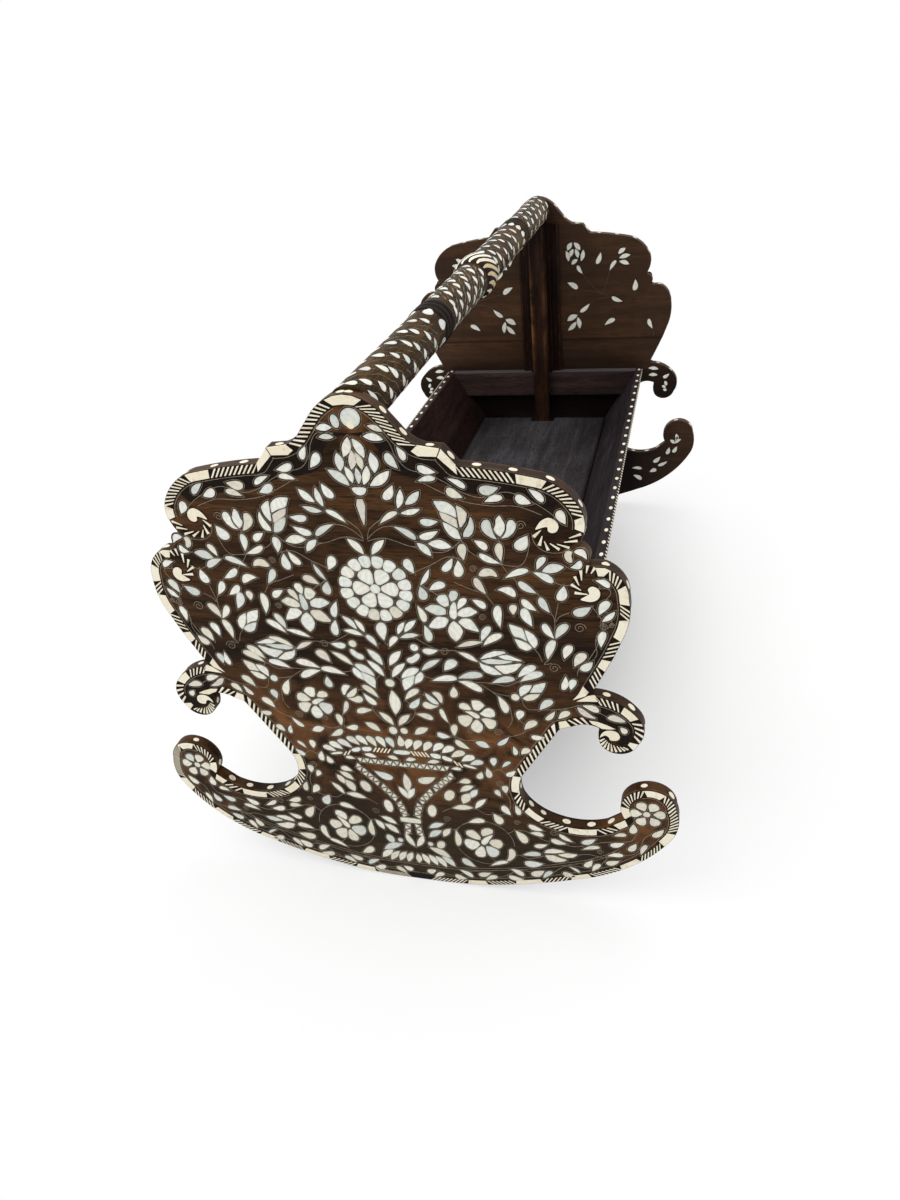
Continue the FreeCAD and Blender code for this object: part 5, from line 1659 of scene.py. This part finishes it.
def lay_dots(name, side):
    dots = Batch()
    middle = (OUTER_Y + INNER_Y) / 2
    for mark in DOT_MARKS:
        s = edge.near(*mark)
        for flip in (1, -1):
            def place(u, v, height, flip=flip):
                x, z = edge.inner(s + u, SET_BACK - height)
                return (flip * x, side * middle + v, z)
            scale = chance.uniform(*DOT_SCALES)
            shape = oval(0, 0, DOT_LONG * scale, DOT_WIDE * scale)
            dots.plate(shape, place, DOT_TOP, bone_tint("plate"), crowned=True)
    dots.piece(name + "_edge_dots", bone, "bone")


# The turned bar: its wood, rows of drops, collars and the striped bead
bar_low, bar_high = box_mm("top_bar")
BAR_Z = (bar_low[2] + bar_high[2]) / 2
BAR_RADIUS = 24.0
BEAD_RADIUS = (bar_high[2] - bar_low[2]) / 2
BEAD_MIDDLE, BEAD_LENGTH = -6.5, 62.0
COLLARS = (-246.5, 273.5)
COLLAR_LENGTH = 42.0
COLLAR_STAINS = (0.9, 0.5)
BEAD_STAIN = 0.9
COLLAR_RADIUS = 25.5
COLLAR_RINGS = 3
BAR_END = INNER_Y + 4.0
BAR_STEPS = 72
BAR_INLAY = 0.3
AROUND = math.tau * BAR_RADIUS
# How far the wood lies under the plain radius: at the bead's ends, in a collar's grooves, and elsewhere
BEAD_UNDER, GROOVE_UNDER, BAR_UNDER = 0.2, 1.0, 0.25
RING_RISE = COLLAR_RADIUS - BAR_RADIUS + 0.9
# Rings of points stand closer on the bead and the collars, and a little beyond them
FINE_STEP, PLAIN_STEP = 1.0, 6.0
FINE_REACH = 0.55
# Unevenness of the turning: height, how often, and where it starts
WAVES = ((0.06, 0.09, 0.0), (0.04, 0.31, 1.0))


def bar_radius(y):
    """Radius of the wood at a place along the bar."""
    from_bead = abs(y - BEAD_MIDDLE) / (BEAD_LENGTH / 2)
    if from_bead < 1:
        swell = (BEAD_RADIUS - BAR_RADIUS - BAR_INLAY) * math.sqrt(1 - from_bead ** 2)
        return BAR_RADIUS - BEAD_UNDER + swell
    for collar in COLLARS:
        from_collar = (y - collar) / COLLAR_LENGTH + 0.5
        if 0 < from_collar < 1:
            rings = abs(math.sin(math.pi * COLLAR_RINGS * from_collar)) ** 0.5
            return BAR_RADIUS - GROOVE_UNDER + RING_RISE * rings
    return BAR_RADIUS - BAR_UNDER


def bar_stain(y):
    """The ground of the bead and the near collar are stained black, the far collar less."""
    if abs(y - BEAD_MIDDLE) < BEAD_LENGTH / 2:
        return BEAD_STAIN
    for collar, stain in zip(COLLARS, COLLAR_STAINS):
        if abs(y - collar) < COLLAR_LENGTH / 2:
            return stain
    return 0.0


def about_bar(y, angle, height):
    """A point over the bar's wood; the angle runs from the top."""
    radius = bar_radius(y) + height
    return (radius * math.sin(angle), y, BAR_Z + radius * math.cos(angle))


def on_bar(y, arc, height):
    """As above, with the angle as a length on the plain radius."""
    return about_bar(y, arc / BAR_RADIUS, height)


def bar_stops():
    """Places along the bar where a ring of points stands."""
    stops = []
    y = -BAR_END
    while y < BAR_END:
        stops.append(y)
        fine = abs(y - BEAD_MIDDLE) < BEAD_LENGTH * FINE_REACH
        fine = fine or any(abs(y - collar) < COLLAR_LENGTH * FINE_REACH for collar in COLLARS)
        y += FINE_STEP if fine else PLAIN_STEP
    return stops + [BAR_END]


def bar_wood_piece():
    stops = bar_stops()
    spots, stain = [], []
    for y in stops:
        rough = sum(height * math.sin(y * often + start) for height, often, start in WAVES)
        for step in range(BAR_STEPS):
            spots.append(about_bar(y, math.tau * step / BAR_STEPS, rough))
            stain.append(bar_stain(y))
    rings = numbered_rings(len(stops), BAR_STEPS)
    faces = tube_faces(rings) + [tuple(rings[0]), tuple(rings[-1])]
    mesh = new_mesh("top_bar_wood", spots, faces, wear=[0.0] * len(spots), stain=stain)
    mesh.polygons.foreach_set("use_smooth", [len(face) == 4 for face in faces])
    piece = finish_piece("top_bar_wood", mesh, bar_wood, "inlaid_wood")
    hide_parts("top_bar")


# Runs of drops that wind round the bar: first and last place, which way they wind, chains side by side,
# drops in one turn, and how far a drop leans from the ring round the bar
BAR_RUNS = (
    (-515, -300, 1, 4, 12, 0.25), (-214, -46, -1, 6, 14, 0.62), (36, 222, 1, 4, 12, 0.25),
    (306, 510, -1, 6, 11, 1.0))
# Rings of ovals: place along the bar, number, length and width
BAR_OVALS = ((-275, 7, 19.0, 12.5), (244, 12, 20.0, 9.6))
OVAL_START = 0.35
CHAIN_PITCH = 40.0
# Drops that would start this little before a run are set at its start
END_REACH = 16.0
# Length and width of a drop, and how far its place, length, lean and width may differ
BAR_DROP = (13.6, 9.8)
WANDER = 1.5
DROP_LENGTHS, DROP_LEANS, DROP_WIDTHS = (0.85, 1.12), (0.6, 1.3), (0.85, 1.1)
BAR_HALO = HALO * 0.7
BAR_BED_TOP = BAR_INLAY * 0.3
BAR_BED_CHAMFER = 0.1
BAR_WIRE_TOP = BAR_INLAY * 0.5
THIN_CHAMFER = 0.06
# Stems per chain, and their points and waves
STEMS = 3
STEM_STEP = 3.0
STEM_SWING, STEM_OFTEN = 1.6, 0.35
BEAD_STRIPES = 15
BEAD_TWIST = 17.0
STRIPE_ON_BEAD = 5.8
BEAD_STEPS = 24
BEAD_MARGIN = 3
# Stripes on the right of the bead are yellowed: between these places round it
YELLOWED = (18.0, 44.0)
YELLOW_TINT = 0.03


def bar_drops(first, last, way, chains, drops, lean):
    """The drops of one run, chain by chain."""
    climb = CHAIN_PITCH * chains / AROUND
    for chain in range(-chains, int((last - first) / CHAIN_PITCH) + 1):
        for index in range(drops):
            arc = AROUND * index / drops + chance.uniform(-WANDER, WANDER)
            y = first + CHAIN_PITCH * chain + climb * arc + chance.uniform(-WANDER, WANDER)
            if first - END_REACH < y < first:
                y = first
            if not first <= y <= last:
                continue
            half = BAR_DROP[0] / 2 * chance.uniform(*DROP_LENGTHS)
            tilt = lean * chance.uniform(*DROP_LEANS)
            reach_y, reach_arc = half * math.sin(tilt), half * math.cos(tilt)
            yield drop(y - reach_y, way * (arc - reach_arc), y + reach_y, way * (arc + reach_arc),
                       BAR_DROP[1] * chance.uniform(*DROP_WIDTHS))


def bar_stems(first, last, way, chains):
    """The wires that wind along with the drops of one run."""
    climb = CHAIN_PITCH * chains / AROUND
    count = chains * STEMS
    steps = int((last - first) / STEM_STEP)
    for stem in range(count):
        start = AROUND * (stem + 0.5) / count
        line = []
        for step in range(steps + 1):
            along = (last - first) * step / steps
            swing = STEM_SWING * math.sin(along * STEM_OFTEN + stem)
            line.append((first + along, way * (start + along / climb + swing)))
        yield even_stroke(line)


def bead_line(start):
    """The middle of a stripe that twists along the bead."""
    line = []
    for step in range(BEAD_STEPS + 1):
        share = step / BEAD_STEPS
        swirl = BEAD_TWIST * (3 * share ** 2 - 2 * share ** 3)
        line.append((BEAD_MIDDLE + (share - 0.5) * (BEAD_LENGTH - BEAD_MARGIN), start + swirl))
    return line


def lay_bar():
    pearls, bones, beds, wires = Batch(), Batch(), Batch(), Batch()

    def set_in(shape):
        pearls.plate(shape, on_bar, BAR_INLAY, pearl_tint(), crowned=True)
        beds.plate(grown(shape, BAR_HALO), on_bar, BAR_BED_TOP, 0.0, chamfer=BAR_BED_CHAMFER, crowned=True)

    for row in BAR_RUNS:
        for shape in bar_drops(*row):
            set_in(shape)
        for shape in bar_stems(*row[:4]):
            wires.plate(shape, on_bar, BAR_WIRE_TOP, WIRE_TINT, chamfer=THIN_CHAMFER)
    for y, count, along, across in BAR_OVALS:
        for index in range(count):
            set_in(oval(y, AROUND * (index + OVAL_START) / count, along, across))
    for index in range(BEAD_STRIPES):
        start = AROUND * index / BEAD_STRIPES
        tint = bone_tint("stripe")
        if YELLOWED[0] < start < YELLOWED[1]:
            tint = YELLOW_TINT
        bones.strip(bead_line(start), STRIPE_ON_BEAD, on_bar, BAR_INLAY, tint)
    finish_inlay("bar", (pearls, PEARL), (bones, BEAD_BONE), (beds, MASTIC), (wires, WIRE))


# The trough sides: dots and saw-teeth on the rims, a border and a vine on the slopes
side_low, side_high = box_mm("right_side")
SIDE_FOOT = (122.5, side_low[2])
SIDE_HEAD = (side_high[0], side_high[2])
SIDE_RISE = math.dist(SIDE_FOOT, SIDE_HEAD)
SIDE_RUN = INNER_Y - 4.0
# Dots on a rim: distance of the first from the end, place across, length and width, and spacing
RIM_DOT_START = 12
RIM_DOT = (7.6, 9.5, 5.2)
RIM_DOT_PITCH = 34.0
RIM_DOT_SPREAD = (0.94, 1.06)
# Teeth on a rim, and pairs of slanted stripes under it: corners along and across, and the stripes' places
TOOTH_PITCH = 9.0
RIM_TOOTH = ((0, 0.7), (5.5, 0.7), (7.5, 3.4))
SLOPE_STRIPE = ((0.0, 0.0), (-3.0, -9.0), (-0.6, -9.0), (2.4, 0.0))
SLOPE_PLACES = (0.0, 4.5)
SLOPE_MARGIN = 1.0
SIDE_BONE_TOP = 0.2
SIDE_PEARL_TOP = 0.25
SIDE_BED_TOP = 0.08
SIDE_WIRE_TOP = 0.12
SIDE_WIRE = 0.8
SIDE_WIRE_LEVELS = (SIDE_RISE - 13.0, 12.0)


def side_place(flip):
    lean_x = (SIDE_HEAD[0] - SIDE_FOOT[0]) / SIDE_RISE
    lean_z = (SIDE_HEAD[1] - SIDE_FOOT[1]) / SIDE_RISE

    def place(u, v, height):
        x = SIDE_FOOT[0] + lean_x * v + lean_z * height
        return (flip * x, u, SIDE_FOOT[1] + lean_z * v - lean_x * height)
    return place


def rim_place(flip):
    def place(u, v, height):
        return (flip * (SIDE_HEAD[0] - v), u, SIDE_HEAD[1] + height)
    return place


# Flowers on a slope: number, spacing, core, petals, and the sprays and stems between them
SIDE_FLOWERS = 4
SIDE_FLOWER_PITCH = 258.0
SIDE_CORE = 9
SIDE_PETAL = (6, 24, 12)
SIDE_PETAL_ANGLES = range(0, 360, 45)
SIDE_SPRAY = (
    (30, 22, 52, 30, 9), (34, 4, 58, 8, 9), (28, -20, 50, -30, 9), (62, 26, 84, 20, 9), (66, -8, 90, -14, 9),
    (64, -30, 82, -36, 8), (96, 14, 118, 22, 9), (98, -24, 120, -16, 9))
SIDE_STEM = ((26, 0), (48, 14), (70, 2), (92, -6), (112, 2), (129, 0))
SIDE_MIDDLE = 70.0


def side_flower(y):
    shapes = [oval(y, SIDE_MIDDLE, SIDE_CORE, SIDE_CORE)]
    shapes += petals(y, SIDE_MIDDLE, *SIDE_PETAL, SIDE_PETAL_ANGLES)
    for way in (1, -1):
        for a, b, c, d, width in SIDE_SPRAY:
            shapes.append(drop(y + way * a, SIDE_MIDDLE + b, y + way * c, SIDE_MIDDLE + d, width))
    return shapes


def lay_side(name, flip):
    pearls, bones, beds, wires = Batch(), Batch(), Batch(), Batch()
    rim, slope = rim_place(flip), side_place(flip)

    def set_wire(shape):
        wires.plate(shape, slope, SIDE_WIRE_TOP, WIRE_TINT, chamfer=THIN_CHAMFER)

    y = -SIDE_RUN + RIM_DOT_START
    while y < SIDE_RUN:
        bones.plate(oval(y, *RIM_DOT), rim, SIDE_BONE_TOP, bone_tint("plate"))
        y += RIM_DOT_PITCH * chance.uniform(*RIM_DOT_SPREAD)
    y = -SIDE_RUN
    top = SIDE_RISE - SLOPE_MARGIN
    while y < SIDE_RUN - TOOTH_PITCH:
        tooth = [(y + along, across) for along, across in RIM_TOOTH]
        bones.plate(tooth, rim, SIDE_BONE_TOP, bone_tint("stripe"))
        for shift in SLOPE_PLACES:
            stripe = [(y + shift + along, top + up) for along, up in SLOPE_STRIPE]
            bones.plate(stripe, slope, SIDE_BONE_TOP, bone_tint("stripe"))
        y += TOOTH_PITCH
    for index in range(SIDE_FLOWERS):
        y = (index - (SIDE_FLOWERS - 1) / 2) * SIDE_FLOWER_PITCH
        for way in (1, -1):
            set_wire(wire([(y + way * along, SIDE_MIDDLE + up) for along, up in SIDE_STEM]))
        for shape in side_flower(y):
            pearls.plate(jittered(shape), slope, SIDE_PEARL_TOP, pearl_tint(), crowned=True)
            beds.plate(grown(shape, HALO), slope, SIDE_BED_TOP, 0.0, chamfer=BED_CHAMFER)
    for level in SIDE_WIRE_LEVELS:
        set_wire(even_stroke([(-SIDE_RUN, level), (0, level), (SIDE_RUN, level)], SIDE_WIRE))
    finish_inlay(name, (pearls, PEARL), (bones, BONE), (beds, MASTIC), (wires, WIRE))


# Everything put together
ENDS = (("foot", -1, foot_outer, foot_inner), ("head", 1, head_outer, head_inner))
# Parts of an end with eased edges: name, wood and width of the easing
END_WOODS = (("_post", post_wood, 1.2), ("_post_batten", post_wood, 0.9), ("_post_backing", post_wood, 0.9),
             ("_rail", rail_wood, 1.4))
SIDE_EASING = 1.2
for end, side, outer_place, inner_place in ENDS:
    for board in ("crest", "arm", "rocker"):
        end_board(end + "_" + board + "_board", side)
    lay_face(end + "_outer", outer_place)
    lay_inner(end + "_inner", inner_place)
    lay_dots(end, side)
    for part, material, width in END_WOODS:
        eased(end + part, material, width)
    for peg in ("seam_dowels", "post_dowels", "rail_dowels", "bar_pin"):
        nodes[end + "_" + peg].material_slots[0].material = peg_wood
bar_wood_piece()
lay_bar()
for hand, flip, side_wood in (("right", 1, right_wood), ("left", -1, left_wood)):
    eased(hand + "_side", side_wood, SIDE_EASING)
    lay_side(hand + "_side", flip)
    nodes[hand + "_floor_cleat"].material_slots[0].material = side_wood
eased("floor_board", floor_wood, SIDE_EASING, "floor")

# Stage: a pale floor, a white surround and soft light
GROUND_SIZE = 60.0
GROUND_LEVEL = -0.0005
GROUND_FADE = (0.15, 0.8)
PAPER_TONES = ((0.3, (0.93, 0.93, 0.925)), (0.7, (0.95, 0.95, 0.945)))
PAPER_SCALE = 3.0
WHITE = (1.0, 1.0, 1.0, 1.0)
half = GROUND_SIZE / 2
corners = ((-half, -half), (half, -half), (half, half), (-half, half))
ground_mesh = bpy.data.meshes.new("ground")
ground_mesh.from_pydata([(x, y, GROUND_LEVEL) for x, y in corners], [], [(0, 1, 2, 3)])
ground = bpy.data.objects.new("ground", ground_mesh)
bpy.context.scene.collection.objects.link(ground)
paper = Graph("paper")
paper_tone = paper.ramp(paper.noise(paper.object_space(EVEN), PAPER_SCALE), PAPER_TONES)
paper.surface(Base_Color=paper_tone, Roughness=0.9, Specular_IOR_Level=0.0)
spread = paper.add("ShaderNodeTexGradient", Vector=paper.object_space((1.0 / GROUND_FADE[1],) * 3))
spread.gradient_type = "SPHERICAL"
far = paper.grey_ramp(spread.outputs["Fac"], 0.0, 1.0 - GROUND_FADE[0] / GROUND_FADE[1], 1.0, 0.0)
rays = paper.tree.nodes.new("ShaderNodeLightPath")
glare = paper.add("ShaderNodeEmission", Color=WHITE, Strength=1.0)
seen = paper.most(rays.outputs["Is Camera Ray"], rays.outputs["Is Transmission Ray"])
seen = paper.most(seen, rays.outputs["Is Glossy Ray"])
blend = paper.add("ShaderNodeMixShader", Fac=paper.times(far, seen))
paper.tree.links.new(paper.shader.outputs["BSDF"], blend.inputs[1])
paper.tree.links.new(glare.outputs["Emission"], blend.inputs[2])
paper.tree.links.new(blend.outputs["Shader"], paper.tree.nodes["Material Output"].inputs["Surface"])
ground_mesh.materials.append(paper.material)

world = bpy.data.worlds.new("surround")
bpy.context.scene.world = world
world.use_nodes = True
sky = world.node_tree
SKY_LIGHT = 0.72
background = sky.nodes["Background"]
background.inputs["Color"].default_value = WHITE
rays = sky.nodes.new("ShaderNodeLightPath")
seen = rays.outputs["Is Camera Ray"]
for kind in ("Is Glossy Ray", "Is Transmission Ray"):
    either = sky.nodes.new("ShaderNodeMath")
    either.operation = "MAXIMUM"
    sky.links.new(seen, either.inputs[0])
    sky.links.new(rays.outputs[kind], either.inputs[1])
    seen = either.outputs[0]
level = sky.nodes.new("ShaderNodeMapRange")
sky.links.new(seen, level.inputs["Value"])
level.inputs["To Min"].default_value = SKY_LIGHT
level.inputs["To Max"].default_value = 1.0
sky.links.new(level.outputs["Result"], background.inputs["Strength"])


LAMP_AIM = (0.0, -0.1, 0.35)


def lamp(name, place, size, power):
    data = bpy.data.lights.new(name, "AREA")
    data.shape = "DISK"
    data.size = size
    data.energy = power
    shown = bpy.data.objects.new(name, data)
    bpy.context.scene.collection.objects.link(shown)
    shown.location = place
    shown.rotation_euler = (Vector(LAMP_AIM) - Vector(place)).to_track_quat("-Z", "Y").to_euler()


lamp("key", (-1.4, -1.6, 2.9), size=2.2, power=44)
lamp("top", (0.6, 0.9, 3.2), size=2.4, power=35)

# Camera, at the photograph's place
CAMERA_PLACE = (0.29454, -1.22802, 0.87094)
CAMERA_TURN = math.radians(17.44)
CAMERA_DIP = math.radians(31.98)
CAMERA_ROLL = math.radians(-6.42)
CAMERA_LENS = 26.163
CAMERA_SENSOR = 36.0
c_turn, s_turn = math.cos(CAMERA_TURN), math.sin(CAMERA_TURN)
c_dip, s_dip = math.cos(CAMERA_DIP), math.sin(CAMERA_DIP)
back = Vector((s_turn * c_dip, -c_turn * c_dip, s_dip))
level_right = Vector((c_turn, s_turn, 0.0))
level_up = Vector((-s_turn * s_dip, c_turn * s_dip, c_dip))
c_roll, s_roll = math.cos(CAMERA_ROLL), math.sin(CAMERA_ROLL)
right = level_right * c_roll + level_up * s_roll
up = level_up * c_roll - level_right * s_roll
camera_data = bpy.data.cameras.new("camera")
camera_data.lens = CAMERA_LENS
camera_data.sensor_width = CAMERA_SENSOR
camera = bpy.data.objects.new("camera", camera_data)
bpy.context.scene.collection.objects.link(camera)
turn = Matrix((right, up, back)).transposed().to_4x4()
camera.matrix_world = Matrix.Translation(CAMERA_PLACE) @ turn
bpy.context.scene.camera = camera
bpy.context.scene.view_settings.view_transform = "Standard"
